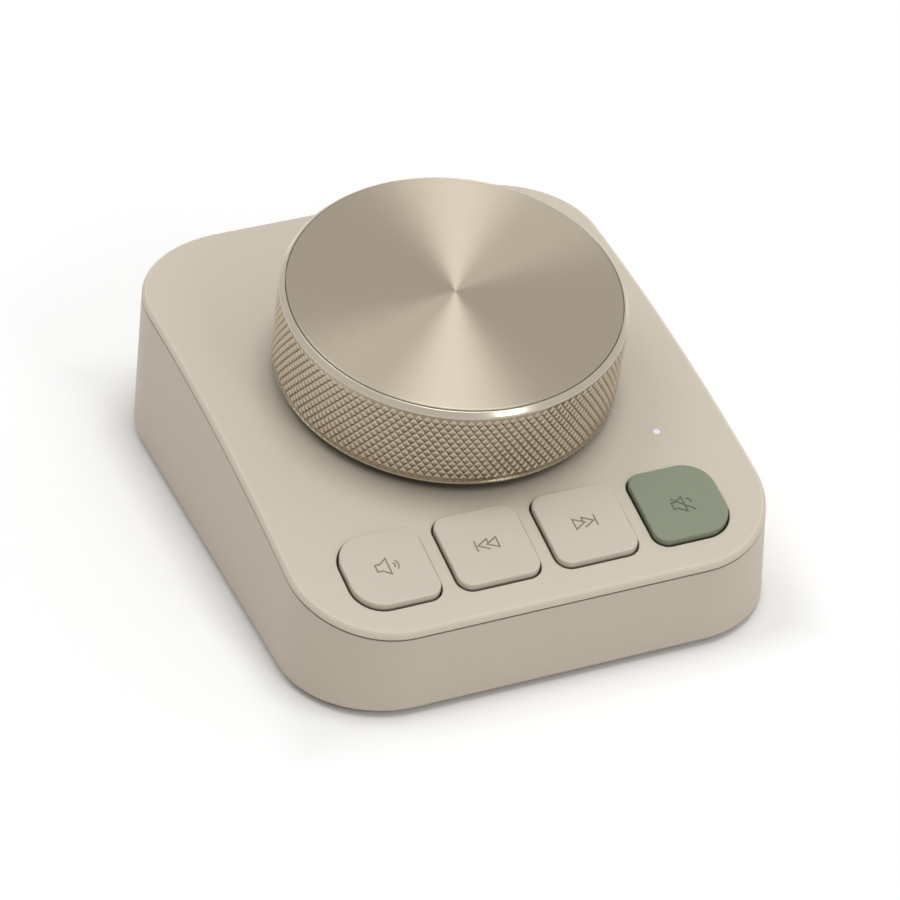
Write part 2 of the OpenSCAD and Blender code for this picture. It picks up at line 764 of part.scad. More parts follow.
module encoder_shaft() {
    color(steel_colour) on_knob() {
        translate([0, 0, rotor_top]) cylinder(h = bushing_h - rotor_top, r = shaft_r);
        translate([0, 0, rotor_top - rotor_t]) cylinder(h = rotor_t, r = rotor_r);
        translate([0, 0, plunger_top + touch]) cylinder(h = rotor_top - rotor_t - plunger_top, r = tip_r);
        translate([0, 0, bushing_h]) linear_extrude(shaft_top - bushing_h) shaft_section(0);
    }
}

// Knob: a knurled aluminium shell, a moulded hub inside it and a brushed plate on its face
knob_top = knob_gap + knob_h;
ring_top = knob_top - cap_rise;
web_top = knob_top - cap_t - tape_t;
web_low = web_top - web_t;
cap_r = knob_r - ring_w;
root_r = knob_r - knurl_d;
band_r = knob_r - knurl_d / 3;
grip_r = root_r - grip_wall;
hub_r = 6;
hub_rim_gap = 5.4;
hub_plate_r = grip_r - hub_rim_gap;
hub_plate_t = 1.6;
hub_gap = 0.4;
hub_foot = bushing_h + press_travel + hub_gap;
rib_t = 1.2;
hub_screw_in = 5;
hub_screw_at = hub_plate_r - hub_screw_in;
hub_boss_r = 2.8;
hub_boss_h = 4;
rib_h = 5;
under_r = 1;

module at_hub_screws() {
    for (a = [0 : 120 : 240]) rotate([0, 0, a]) translate([hub_screw_at, 0, 0]) children();
}

module knob_hub() {
    color(dark_colour) on_knob() difference() {
        union() {
            translate([0, 0, hub_foot]) cylinder(h = web_low - hub_foot, r = hub_r);
            translate([0, 0, web_low - hub_plate_t]) cylinder(h = hub_plate_t, r = hub_plate_r);
            for (a = [0 : 60 : 300]) rotate([0, 0, a]) translate([0, -rib_t / 2, web_low - rib_h])
                cube([hub_plate_r - under_r, rib_t, rib_h]);
            at_hub_screws() translate([0, 0, web_low - hub_boss_h])
                cylinder(h = hub_boss_h, r = hub_boss_r);
        }
        translate([0, 0, hub_foot - cut])
            linear_extrude(shaft_top - hub_foot + cut + touch) shaft_section(touch);
        at_hub_screws() translate([0, 0, web_low - hub_boss_h - cut])
            cylinder(h = hub_boss_h + 2 * cut, r = small_r + thread_fit);
    }
}

module hub_screws() {
    color(steel_colour) on_knob() at_hub_screws() translate([0, 0, web_top - small_head_h - touch])
        rotate([180, 0, 0]) screw(small_r, small_l, small_head_r, small_head_h, drive_r);
}

// Closed band of pyramids, staggered from row to row; its inner face lies inside the shell's wall
knurl_low = knob_gap + low_band_h;
knurl_high = ring_top - chamfer_h - top_band_h;
function knurl_point(i, j) = let (r = (i + j) % 2 == 0 || j == 0 || j == 2 * knurl_rows ? root_r : knob_r,
    a = 180 * i / knurl_n)
    [r * cos(a), r * sin(a), knurl_low + (knurl_high - knurl_low) * j / (2 * knurl_rows)];
function knurl_cell(i, j) =
    let (n = 2 * knurl_n, a = j * n + i, b = j * n + (i + 1) % n, c = a + n, d = b + n)
    (i + j) % 2 == 0 ? [[a, c, d], [a, d, b]] : [[a, c, b], [b, c, d]];

module knurl_band() {
    n = 2 * knurl_n;
    m = 2 * knurl_rows;
    inner_r = root_r - grip_wall / 2;
    polyhedron(
        points = concat([for (j = [0 : m]) for (i = [0 : n - 1]) knurl_point(i, j)],
            [for (z = [knurl_high, knurl_low]) for (i = [0 : n - 1]) let (a = 180 * i / knurl_n)
                [inner_r * cos(a), inner_r * sin(a), z]]),
        faces = concat([for (j = [0 : m - 1]) for (i = [0 : n - 1]) each knurl_cell(i, j)],
            [for (k = [0 : 2]) for (i = [0 : n - 1]) let (j = (i + 1) % n,
                a = (m + k) * n, b = (k < 2 ? m + k + 1 : 0) * n)
                for (f = [[a + i, b + i, b + j], [a + i, b + j, a + j]]) f]));
}

module knob_grip() {
    seat_r = cap_r + cap_fit;
    color(metal_colour) on_knob() difference() {
        union() {
            rotate_extrude($fn = 144) polygon([
                [0, web_low], [grip_r, web_low], [grip_r, knob_gap], [band_r - lip_w, knob_gap],
                [band_r, knob_gap + lip_w], [band_r, knurl_low], [root_r - touch, knurl_low],
                [root_r - touch, knurl_high], [band_r, knurl_high], [band_r, ring_top - chamfer_h],
                [seat_r + lip_w, ring_top], [seat_r, ring_top], [seat_r, web_top], [0, web_top]]);
            knurl_band();
        }
        at_hub_screws() {
            translate([0, 0, web_low - cut]) cylinder(h = web_t + 2 * cut, r = small_r + slip);
            translate([0, 0, web_top - small_head_h - touch])
                cylinder(h = small_head_h + cut, r = small_head_r + slip);
        }
    }
}

module face_tape() {
    color("ivory") on_knob() translate([0, 0, web_top]) cylinder(h = tape_t, r = cap_r - lip_w);
}

// Face plate, a turned disc with a fine bevel
bevel = 0.15;

module knob_face() {
    color(metal_colour) on_knob() rotate_extrude($fn = 144) polygon([
        [0, knob_top - cap_t], [cap_r, knob_top - cap_t], [cap_r, knob_top - bevel],
        [cap_r - bevel, knob_top], [0, knob_top]]);
}

// Keys: a hollow cap with a flange that holds it under the deck, and a stem over its switch
module key_cap(k) {
    on_knob() difference() {
        union() {
            key_block(k, key_gap, flange_top - flange_t, key_rise, key_edge);
            at_key(k) translate([0, 0, flange_top - flange_t]) linear_extrude(flange_t)
                polygon(soft_rect(well_w, well_d, key_radii[k], -flange, key_steps));
        }
        difference() {
            key_block(k, key_gap + key_wall, flange_top - flange_t - cut, key_rise - key_top, 0);
            at_key(k) translate([0, 0, flange_top - flange_t - 2 * cut])
                cylinder(h = key_rise - flange_top + flange_t + 2 * cut, r = stem_r);
        }
    }
}

module key_button(k) {
    color("white") on_knob() at_key(k) translate([0, 0, button_top - button_up - button_down])
        cylinder(h = button_up + button_down, r = button_r);
}

module key_volume() { color(deck_colour) key_cap(0); }
module key_previous() { color(deck_colour) key_cap(1); }
module key_next() { color(deck_colour) key_cap(2); }
module key_mute() { color(green_colour) key_cap(3); }
module button_volume() { key_button(0); }
module button_previous() { key_button(1); }
module button_next() { key_button(2); }
module button_mute() { key_button(3); }

module key_switches() {
    color(dark_colour) on_knob() for (k = [0 : key_count - 1]) at_key(k) difference() {
        translate([0, 0, board_top + switch_h / 2]) cube([switch_w, switch_w, switch_h], center = true);
        translate([0, 0, button_top - button_up - button_down - key_travel - slip])
            cylinder(h = switch_h, r = button_r + button_fit);
    }
}

// Status light on the control board, and the pipe that carries it to the deck
lamp_w = 1.6;
lamp_t = 0.8;
pipe_r = 1.2;

module status_led() {
    color("white") on_knob() translate([led_x, -led_v, board_top + lamp_t / 2])
        cube([lamp_w, lamp_w, lamp_t], center = true);
}

module light_pipe() {
    color("white") on_knob() translate([led_x, -led_v, 0]) {
        translate([0, 0, board_top + lamp_t + slip])
            cylinder(h = deck_w(-led_v, 0) - rim_h - plug_h - board_top - lamp_t - 2 * slip, r = pipe_r);
        translate([0, 0, board_top + lamp_t + slip])
            cylinder(h = deck_w(-led_v, 0) - board_top - lamp_t - slip, r = led_r);
    }
}

top_cover();
lower_shell();
base_plate();
base_pad();
case_screws();
ballast();
ballast_screws();
control_board();
control_board_screws();
main_board();
main_board_screws();
controller_chip();
board_parts();
usb_socket();
usb_insert();
ribbon_cable();
ribbon_sockets();
encoder_base();
encoder_bushing();
encoder_washer();
encoder_nut();
press_plunger();
encoder_shaft();
knob_hub();
hub_screws();
knob_grip();
face_tape();
knob_face();
key_volume();
key_previous();
key_next();
key_mute();
key_switches();
button_volume();
button_previous();
button_next();
button_mute();
status_led();
light_pipe();
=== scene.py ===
import math

import bmesh
import bpy
from mathutils import Matrix, Vector


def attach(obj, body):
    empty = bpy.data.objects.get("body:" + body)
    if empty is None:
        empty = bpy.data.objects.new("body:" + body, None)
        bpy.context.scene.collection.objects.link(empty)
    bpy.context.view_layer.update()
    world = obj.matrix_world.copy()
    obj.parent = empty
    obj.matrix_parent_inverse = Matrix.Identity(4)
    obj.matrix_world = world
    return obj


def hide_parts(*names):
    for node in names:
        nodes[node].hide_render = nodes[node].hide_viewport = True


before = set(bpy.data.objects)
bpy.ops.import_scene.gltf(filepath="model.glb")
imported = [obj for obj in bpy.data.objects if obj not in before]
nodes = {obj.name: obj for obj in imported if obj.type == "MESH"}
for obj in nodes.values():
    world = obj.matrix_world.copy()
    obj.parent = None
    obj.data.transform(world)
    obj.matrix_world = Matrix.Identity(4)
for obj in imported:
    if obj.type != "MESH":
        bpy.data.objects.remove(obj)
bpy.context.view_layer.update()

mm = 0.001  # lengths are written in millimetres and scaled where a mesh is made


print("stage: camera")

cameraPlace = {
    "azimuth": -25.121,  # degrees, to the left of the front
    "elevation": 36.748,
    "roll": 3.46,
    "distance": 704.58,
    "lens": 179.346,
    "sensor": 36,
    "aim": (-1.035, -5.516, 13.723),
    "clip": (50, 20000),
}


def addCamera(place):
    a, e, r = (math.radians(place[k]) for k in ("azimuth", "elevation", "roll"))
    back = Vector((math.sin(a) * math.cos(e), -math.cos(a) * math.cos(e), math.sin(e)))
    side = Vector((math.cos(a), math.sin(a), 0))
    over = back.cross(side)
    right = side * math.cos(r) + over * math.sin(r)
    up = over * math.cos(r) - side * math.sin(r)
    data = bpy.data.cameras.new("photoCamera")
    data.lens = place["lens"]
    data.sensor_width = place["sensor"]
    data.clip_start, data.clip_end = (v * mm for v in place["clip"])
    camera = bpy.data.objects.new("photoCamera", data)
    turn = Matrix((right, up, back)).transposed().to_4x4()
    spot = (Vector(place["aim"]) + back * place["distance"]) * mm
    camera.matrix_world = Matrix.Translation(spot) @ turn
    bpy.context.scene.collection.objects.link(camera)
    bpy.context.scene.camera = camera


addCamera(cameraPlace)


print("stage: shapes")

case = {
    "width": 80,
    "depth": 96,
    "frontCorner": 16,
    "backCorner": 19,
    "lean": 0.045,  # inward, for each unit of height
    "wall": 2.4,
    "foot": 1,  # height at which the wall starts
    "seam": 22.3,  # parting line above the foot, at mid depth
    "crownRadius": 300,
    "crownY": 33,
    "rim": 1.1,  # cover's edge above the parting line
    "edge": 1,  # its rounding
    "evenRings": (0.25, 0.8),  # past the rounding, so that the deck is shaded evenly
    "plug": 1.3,  # the cover reaches this far into the wall
    "plugFit": 0.1,
    "reveal": 0.21,  # open height of the parting line
    "revealDepth": 0.6,
    "lip": 1.2,  # wall left round the base plate
    "plate": 2.4,  # thickness of the base plate
    "footRound": 0.5,
    "seamRound": 0.18,
}
knobY = 0.803
lean = math.radians(8.6)  # of the knob's axis, towards the front

crownAxis = case["foot"] + case["seam"] - math.sqrt(case["crownRadius"] ** 2 - case["crownY"] ** 2)
deckRadius = case["crownRadius"] + case["rim"]


def crownZ(y, rise):
    return crownAxis + math.sqrt((case["crownRadius"] + rise) ** 2 - (y - case["crownY"]) ** 2)


knobFrame = Matrix.Translation((0, knobY, crownZ(knobY, case["rim"]))) @ Matrix.Rotation(lean, 4, "X")
crownCentre = knobFrame.inverted() @ Vector((0, case["crownY"], crownAxis))


def deckW(v, rise):  # height over the deck at the knob's axis, v behind that axis
    return crownCentre.z + math.sqrt((deckRadius + rise) ** 2 - (v - crownCentre.y) ** 2)


def onKnob(x, v, w):
    return knobFrame @ Vector((x, v, w))


def knobCircle(x, v, radius, w, count):
    angles = [2 * math.pi * i / count for i in range(count)]
    return [onKnob(x + radius * math.cos(a), v + radius * math.sin(a), w) for a in angles]


def rightHalf(cornerSteps, sideSteps):  # (x, y, normal x, normal y), front to back
    halfW, halfD, r, s = case["width"] / 2, case["depth"] / 2, case["frontCorner"], case["backCorner"]
    points = []
    for i in range(cornerSteps + 1):
        a = math.radians(90 * i / cornerSteps - 90)
        points.append((halfW - r + r * math.cos(a), r + r * math.sin(a) - halfD, math.cos(a), math.sin(a)))
    for i in range(1, sideSteps):
        points.append((halfW, r - halfD + (2 * halfD - r - s) * i / sideSteps, 1, 0))
    for i in range(cornerSteps + 1):
        a = math.radians(90 * i / cornerSteps)
        points.append((halfW - s + s * math.cos(a), halfD - s + s * math.sin(a), math.cos(a), math.sin(a)))
    return points


outline = rightHalf(24, 36)


def fullRing(half):
    return half + [(-x, y, z) for x, y, z in reversed(half)]


def inward(point, inset, z):
    s = inset + case["lean"] * (z - case["foot"])
    return point[0] - point[2] * s, point[1] - point[3] * s


def flatRing(inset, z):
    return fullRing([(*inward(p, inset, z), z) for p in outline])


def crownRing(inset, rise):
    half = []
    for p in outline:
        x, y = inward(p, inset, crownZ(p[1], rise))
        half.append((x, y, crownZ(y, rise)))
    return fullRing(half)


def quarter(steps):
    return [math.radians(90 * i / steps) for i in range(steps + 1)]


def sideFaces(count, rings, closed=False):
    faces = []
    for k in range(rings if closed else rings - 1):
        a, b = k * count, (k + 1) % rings * count
        for i in range(count):
            j = (i + 1) % count
            faces.append((a + i, a + j, b + j, b + i))
    return faces


def stripFaces(count, first):
    return [(first + i, first + i + 1, first + count - 2 - i, first + count - 1 - i) for i in range(count // 2 - 1)]


sharpAngle = math.radians(35)


def cleanMesh(mesh, weld=0.0):
    shape = bmesh.new()
    shape.from_mesh(mesh)
    if weld:
        bmesh.ops.remove_doubles(shape, verts=shape.verts, dist=weld)
    bmesh.ops.recalc_face_normals(shape, faces=shape.faces)
    shape.to_mesh(mesh)
    shape.free()
    mesh.shade_smooth()
    mesh.set_sharp_from_angle(angle=sharpAngle)


def addPiece(name, points, faces):
    mesh = bpy.data.meshes.new(name)
    mesh.from_pydata([Vector(p) * mm for p in points], [], faces)
    cleanMesh(mesh)
    piece = bpy.data.objects.new(name, mesh)
    bpy.context.scene.collection.objects.link(piece)
    return piece


def settle(piece):  # the evaluated mesh takes the place of the modifiers
    graph = bpy.context.evaluated_depsgraph_get()
    mesh = bpy.data.meshes.new_from_object(piece.evaluated_get(graph))
    piece.modifiers.clear()
    piece.data = mesh
    return piece


def cutAway(piece, cutters):
    for cutter in cutters:
        cut = piece.modifiers.new("cut", "BOOLEAN")
        cut.operation = "DIFFERENCE"
        cut.solver = "EXACT"
        cut.object = cutter
    settle(piece)
    for cutter in cutters:
        bpy.data.objects.remove(cutter)
    cleanMesh(piece.data, weld=0.002 * mm)
    return piece


def evenNormals(piece):  # broad faces keep their own normals beside small roundings
    weights = piece.modifiers.new("normals", "WEIGHTED_NORMAL")
    weights.keep_sharp = True
    weights.weight = 100
    return settle(piece)


def ringBody(name, rings):  # its end rings are closed by strips across
    points = [p for ring in rings for p in ring]
    count = len(rings[0])
    last = count * (len(rings) - 1)
    faces = sideFaces(count, len(rings)) + stripFaces(count, 0) + stripFaces(count, last)
    return addPiece(name, points, faces)


def closedRings(name, rings):  # its end rings are closed by one face each
    points = [p for ring in rings for p in ring]
    count = len(rings[0])
    faces = sideFaces(count, len(rings))
    faces += [tuple(range(count)), tuple(range(count * (len(rings) - 1), count * len(rings)))]
    return addPiece(name, points, faces)


def slotPoints(width, height, steps=16):  # a slot's outline in X and Z
    r = height / 2
    ends = []
    for side in (1, -1):
        for i in range(steps + 1):
            a = math.radians(side * 90 - 180 * i / steps)
            ends.append((side * (width / 2 - r) + r * math.cos(a), r * math.sin(a)))
    return ends


def prismAlongY(name, outlines):  # outlines are (points in X and Z, y)
    return closedRings(name, [[(x, y, z) for x, z in shape] for shape, y in outlines])


def softRect(width, depth, radii, inset, steps=10):  # front right, back right, back left, front left
    points = []
    for c, radius in enumerate(radii):
        r = radius - inset
        x = (1 if c < 2 else -1) * (width / 2 - inset - r)
        y = (1 if c in (1, 2) else -1) * (depth / 2 - inset - r)
        for i in range(steps + 1):
            a = math.radians(90 * (c - 1 + i / steps))
            points.append((x + r * math.cos(a), y + r * math.sin(a)))
    return points


keys = {
    "names": ("volume", "previous", "next", "mute"),
    "well": (14.05, 14.4),  # width and depth of the hole in the deck
    "pitch": 16.25,
    "row": 37,  # in front of the knob's axis
    "gap": 0.3,
    "rise": 0.95,
    "edge": 0.34,  # rounding of a key's top
    "evenRings": (0.3, 0.8, 1.6),  # past the rounding, for even shading
    "inner": 2.6,  # corner radius, and that of the row's end corners
    "outer": 5.2,
    "foot": -5.8,
    "wellRound": 0.22,
}


def keyRadii(k):
    inner, outer = keys["inner"], keys["outer"]
    if k == 0:
        return inner, inner, outer, outer
    return (outer, outer, inner, inner) if k == 3 else (inner, inner, inner, inner)


def keyX(k):
    return (k - 1.5) * keys["pitch"]


def keyRing(k, inset, rise):
    ring = []
    for x, y in softRect(*keys["well"], keyRadii(k), inset):
        v = y - keys["row"]
        ring.append(onKnob(keyX(k) + x, v, deckW(v, rise)))
    return ring


def keyFoot(k, inset, w):
    return [onKnob(keyX(k) + x, y - keys["row"], w) for x, y in softRect(*keys["well"], keyRadii(k), inset)]


def wellCutter(k):
    r = keys["wellRound"]
    rings = [keyFoot(k, 0, -8), keyRing(k, 0, -r)]
    rings += [keyRing(k, -r * (1 - math.cos(a)), r * math.sin(a) - r) for a in quarter(5)[1:]]
    rings += [keyRing(k, -r, 3)]
    return closedRings("wellCutter", rings)


def finishPiece(piece, body, slot, material, *replaced):
    piece.data.materials.clear()
    piece.data.materials.append(material)
    for face in piece.data.polygons:
        face.material_index = 0
    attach(piece, body)
    if replaced:
        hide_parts(*replaced)
    return piece


print("stage: materials")


def addNode(tree, kind, settings=None, **values):
    node = tree.nodes.new(kind)
    for key, value in (settings or {}).items():
        setattr(node, key, value)
    for key, value in values.items():
        node.inputs[key.replace("_", " ")].default_value = value
    return node


def join(tree, source, sink):
    tree.links.new(source, sink)


def mapRange(tree, source, low, high, first, last, kind="SMOOTHSTEP"):
    node = addNode(tree, "ShaderNodeMapRange", {"interpolation_type": kind},
                   From_Min=low, From_Max=high, To_Min=first, To_Max=last)
    join(tree, source, node.inputs["Value"])
    return node


def shaderGroup(name, inputs, outputs):
    group = bpy.data.node_groups.new(name, "ShaderNodeTree")
    for label, kind, value in inputs:
        socket = group.interface.new_socket(label, in_out="INPUT", socket_type=kind)
        if value is not None:
            socket.default_value = value
    for label, kind in outputs:
        group.interface.new_socket(label, in_out="OUTPUT", socket_type=kind)
    return group, group.nodes.new("NodeGroupInput"), group.nodes.new("NodeGroupOutput")


crownLine = ((0, case["crownY"] * mm, crownAxis * mm), (0, 1, 1))  # a point of the axis, the plane across it
knobLine = ((0, knobY * mm, 0), (1, 1, 0))


def fromAxis(tree, place, point, plane):  # the way from an axis to the place shaded
    away = addNode(tree, "ShaderNodeVectorMath", {"operation": "SUBTRACT"})
    away.inputs[1].default_value = point
    join(tree, place.outputs["Object"], away.inputs[0])
    across = addNode(tree, "ShaderNodeVectorMath", {"operation": "MULTIPLY"})
    across.inputs[1].default_value = plane
    join(tree, away.outputs[0], across.inputs[0])
    return across.outputs[0]


def paintedEdgeHighlight(group, place):  # painted highlight: 1 where a rounding just leaves the crown
    crownNormal = addNode(group, "ShaderNodeVectorMath", {"operation": "NORMALIZE"})
    join(group, fromAxis(group, place, *crownLine), crownNormal.inputs[0])
    tilt = addNode(group, "ShaderNodeVectorMath", {"operation": "DOT_PRODUCT"})
    join(group, crownNormal.outputs[0], tilt.inputs[0])
    join(group, place.outputs["Normal"], tilt.inputs[1])
    limits = ((0.95, 0.985, 1, 0), (0.75, 0.94, 0, 1))
    sides = [mapRange(group, tilt.outputs["Value"], *limit) for limit in limits]
    mask = addNode(group, "ShaderNodeMath", {"operation": "MULTIPLY"})
    join(group, sides[0].outputs[0], mask.inputs[0])
    join(group, sides[1].outputs[0], mask.inputs[1])
    return mask.outputs[0]


def makeMouldGroup():  # fine spark-eroded grain, a faint mottle and a painted highlight along the edge roundings
    group, given, out = shaderGroup(
        "mouldGrainAndHighlight",
        [("Colour", "NodeSocketColor", (0.5, 0.5, 0.5, 1)), ("Mottle", "NodeSocketFloat", 0.04),
         ("Grain", "NodeSocketFloat", 5000), ("Roughness", "NodeSocketFloat", 0.55),
         ("Depth", "NodeSocketFloat", 0.15), ("Painted Highlight", "NodeSocketFloat", 0)],
        [("Colour", "NodeSocketColor"), ("Roughness", "NodeSocketFloat"), ("Normal", "NodeSocketVector")])
    place = addNode(group, "ShaderNodeTexCoord")
    # painted highlight: the colour is raised where an edge rounding starts
    highlighted = addNode(group, "ShaderNodeMath", {"operation": "MULTIPLY_ADD"})
    highlighted.inputs[2].default_value = 1
    join(group, paintedEdgeHighlight(group, place), highlighted.inputs[0])
    join(group, given.outputs["Painted Highlight"], highlighted.inputs[1])
    broad = addNode(group, "ShaderNodeTexNoise", Scale=90, Detail=3)
    fine = addNode(group, "ShaderNodeTexNoise", Detail=2)
    join(group, place.outputs["Object"], broad.inputs["Vector"])
    join(group, place.outputs["Object"], fine.inputs["Vector"])
    join(group, given.outputs["Grain"], fine.inputs["Scale"])
    both = addNode(group, "ShaderNodeMath", {"operation": "ADD"})
    join(group, broad.outputs["Fac"], both.inputs[0])
    join(group, fine.outputs["Fac"], both.inputs[1])
    centred = addNode(group, "ShaderNodeMath", {"operation": "SUBTRACT"})
    centred.inputs[1].default_value = 1
    join(group, both.outputs[0], centred.inputs[0])
    share = addNode(group, "ShaderNodeMath", {"operation": "MULTIPLY_ADD"})
    join(group, highlighted.outputs[0], share.inputs[2])
    join(group, centred.outputs[0], share.inputs[0])
    join(group, given.outputs["Mottle"], share.inputs[1])
    tinted = addNode(group, "ShaderNodeVectorMath", {"operation": "SCALE"})
    join(group, given.outputs["Colour"], tinted.inputs[0])
    join(group, share.outputs[0], tinted.inputs["Scale"])
    join(group, tinted.outputs[0], out.inputs["Colour"])
    rough = addNode(group, "ShaderNodeMath", {"operation": "MULTIPLY_ADD"})
    rough.inputs[1].default_value = 0.12
    join(group, centred.outputs[0], rough.inputs[0])
    join(group, given.outputs["Roughness"], rough.inputs[2])
    join(group, rough.outputs[0], out.inputs["Roughness"])
    bump = addNode(group, "ShaderNodeBump", Distance=0.00003)
    join(group, fine.outputs["Fac"], bump.inputs["Height"])
    join(group, given.outputs["Depth"], bump.inputs["Strength"])
    join(group, bump.outputs["Normal"], out.inputs["Normal"])
    return group


def makeTurnedGroup():  # rings left by turning or circular brushing round the knob's axis
    group, given, out = shaderGroup(
        "turnedRings",
        [("Colour", "NodeSocketColor", (0.5, 0.5, 0.5, 1)), ("Lines", "NodeSocketFloat", 9000),
         ("Contrast", "NodeSocketFloat", 0.1), ("Roughness", "NodeSocketFloat", 0.3),
         ("Depth", "NodeSocketFloat", 0.1)],
        [("Colour", "NodeSocketColor"), ("Roughness", "NodeSocketFloat"), ("Normal", "NodeSocketVector"),
         ("Tangent", "NodeSocketVector"), ("Radius", "NodeSocketFloat")])
    place = addNode(group, "ShaderNodeTexCoord")
    local = addNode(group, "ShaderNodeMapping", {"vector_type": "TEXTURE"},
                    Location=knobFrame.translation * mm, Rotation=(lean, 0, 0))
    join(group, place.outputs["Object"], local.inputs["Vector"])
    parts = addNode(group, "ShaderNodeSeparateXYZ")
    join(group, local.outputs[0], parts.inputs[0])
    flat = addNode(group, "ShaderNodeCombineXYZ")
    join(group, parts.outputs["X"], flat.inputs["X"])
    join(group, parts.outputs["Y"], flat.inputs["Y"])
    radius = addNode(group, "ShaderNodeVectorMath", {"operation": "LENGTH"})
    join(group, flat.outputs[0], radius.inputs[0])
    join(group, radius.outputs["Value"], out.inputs["Radius"])
    angle = addNode(group, "ShaderNodeMath", {"operation": "ARCTAN2"})
    join(group, parts.outputs["Y"], angle.inputs[0])
    join(group, parts.outputs["X"], angle.inputs[1])
    across = addNode(group, "ShaderNodeMath", {"operation": "ADD"})
    join(group, radius.outputs["Value"], across.inputs[0])
    join(group, parts.outputs["Z"], across.inputs[1])
    lines = addNode(group, "ShaderNodeMath", {"operation": "MULTIPLY"})
    join(group, across.outputs[0], lines.inputs[0])
    join(group, given.outputs["Lines"], lines.inputs[1])
    about = addNode(group, "ShaderNodeMath", {"operation": "MULTIPLY"})
    about.inputs[1].default_value = 2.5
    join(group, angle.outputs[0], about.inputs[0])
    spot = addNode(group, "ShaderNodeCombineXYZ")
    join(group, lines.outputs[0], spot.inputs["X"])
    join(group, about.outputs[0], spot.inputs["Y"])
    streaks = addNode(group, "ShaderNodeTexNoise", Scale=1, Detail=3, Roughness=0.6)
    join(group, spot.outputs[0], streaks.inputs["Vector"])
    centred = addNode(group, "ShaderNodeMath", {"operation": "SUBTRACT"})
    centred.inputs[1].default_value = 0.5
    join(group, streaks.outputs["Fac"], centred.inputs[0])
    share = addNode(group, "ShaderNodeMath", {"operation": "MULTIPLY_ADD"})
    share.inputs[2].default_value = 1
    join(group, centred.outputs[0], share.inputs[0])
    join(group, given.outputs["Contrast"], share.inputs[1])
    tinted = addNode(group, "ShaderNodeVectorMath", {"operation": "SCALE"})
    join(group, given.outputs["Colour"], tinted.inputs[0])
    join(group, share.outputs[0], tinted.inputs["Scale"])
    join(group, tinted.outputs[0], out.inputs["Colour"])
    rough = addNode(group, "ShaderNodeMath", {"operation": "MULTIPLY_ADD"})
    rough.inputs[1].default_value = 0.1
    join(group, centred.outputs[0], rough.inputs[0])
    join(group, given.outputs["Roughness"], rough.inputs[2])
    join(group, rough.outputs[0], out.inputs["Roughness"])
    bump = addNode(group, "ShaderNodeBump", Distance=0.00002)
    join(group, streaks.outputs["Fac"], bump.inputs["Height"])
    join(group, given.outputs["Depth"], bump.inputs["Strength"])
    join(group, bump.outputs["Normal"], out.inputs["Normal"])
    turned = addNode(group, "ShaderNodeVectorRotate", {"rotation_type": "X_AXIS"}, Angle=lean)
    join(group, flat.outputs[0], turned.inputs["Vector"])
    world = addNode(group, "ShaderNodeVectorTransform",
                    {"vector_type": "VECTOR", "convert_from": "OBJECT", "convert_to": "WORLD"})
    join(group, turned.outputs[0], world.inputs[0])
    join(group, world.outputs[0], out.inputs["Tangent"])
    return group


mouldGroup = makeMouldGroup()
turnedGroup = makeTurnedGroup()


def startMaterial(name):
    material = bpy.data.materials.new(name)
    material.use_nodes = True
    tree = material.node_tree
    return material, tree, tree.nodes["Principled BSDF"]


def useGroup(tree, group, surface, values, outputs=("Colour", "Roughness", "Normal")):
    effect = addNode(tree, "ShaderNodeGroup", {"node_tree": group}, **values)
    sinks = {"Colour": "Base Color", "Roughness": "Roughness", "Normal": "Normal", "Tangent": "Tangent"}
    for label in outputs:
        join(tree, effect.outputs[label], surface.inputs[sinks[label]])
    return effect


def paintShadeWhereLow(tree, surface, measure, low, high, shade):  # painted shade: darker where the measure is low
    level = mapRange(tree, measure, low, high, shade, 1)
    tinted = addNode(tree, "ShaderNodeVectorMath", {"operation": "SCALE"})
    join(tree, surface.inputs["Base Color"].links[0].from_socket, tinted.inputs[0])
    join(tree, level.outputs[0], tinted.inputs["Scale"])
    join(tree, tinted.outputs[0], surface.inputs["Base Color"])


def moulded(name, colour, roughness=0.5, grain=5000, depth=0.15, mottle=0.04, paintedHighlight=0.0, paintedShades=()):
    material, tree, surface = startMaterial(name)
    surface.inputs["Specular IOR Level"].default_value = 0.38
    useGroup(tree, mouldGroup, surface, {
        "Colour": (*colour, 1), "Mottle": mottle, "Grain": grain, "Roughness": roughness, "Depth": depth,
        "Painted Highlight": paintedHighlight})
    # painted shade, darker near an axis as listed in the painted shades
    for line, low, high, shade in paintedShades:
        length = addNode(tree, "ShaderNodeVectorMath", {"operation": "LENGTH"})
        join(tree, fromAxis(tree, addNode(tree, "ShaderNodeTexCoord"), *line), length.inputs[0])
        paintShadeWhereLow(tree, surface, length.outputs["Value"], low, high, shade)
    return material


def turnedMetal(name, colour, roughness, lines, contrast, depth, anisotropy):
    material, tree, surface = startMaterial(name)
    surface.inputs["Metallic"].default_value = 1
    surface.inputs["Anisotropic"].default_value = anisotropy
    useGroup(tree, turnedGroup, surface, {
        "Colour": (*colour, 1), "Lines": lines, "Contrast": contrast, "Roughness": roughness,
        "Depth": depth}, ("Colour", "Roughness", "Normal", "Tangent"))
    return material


def knurledMetal(name, colour, roughness, low, high, shade):  # painted shade: the grooves are darker than the tips
    material, tree, surface = startMaterial(name)
    surface.inputs["Metallic"].default_value = 1
    effect = useGroup(tree, turnedGroup, surface, {
        "Colour": (*colour, 1), "Lines": 3000, "Contrast": 0.15, "Roughness": roughness, "Depth": 0.05})
    paintShadeWhereLow(tree, surface, effect.outputs["Radius"], low, high, shade)
    return material


def plainMetal(name, colour, roughness, grain=3000, mottle=0.08, depth=0.1):
    material, tree, surface = startMaterial(name)
    surface.inputs["Metallic"].default_value = 1
    useGroup(tree, mouldGroup, surface, {
        "Colour": (*colour, 1), "Mottle": mottle, "Grain": grain, "Roughness": roughness, "Depth": depth})
    return material


ledge = case["crownRadius"] - case["reveal"]  # top of the wall, under the parting line
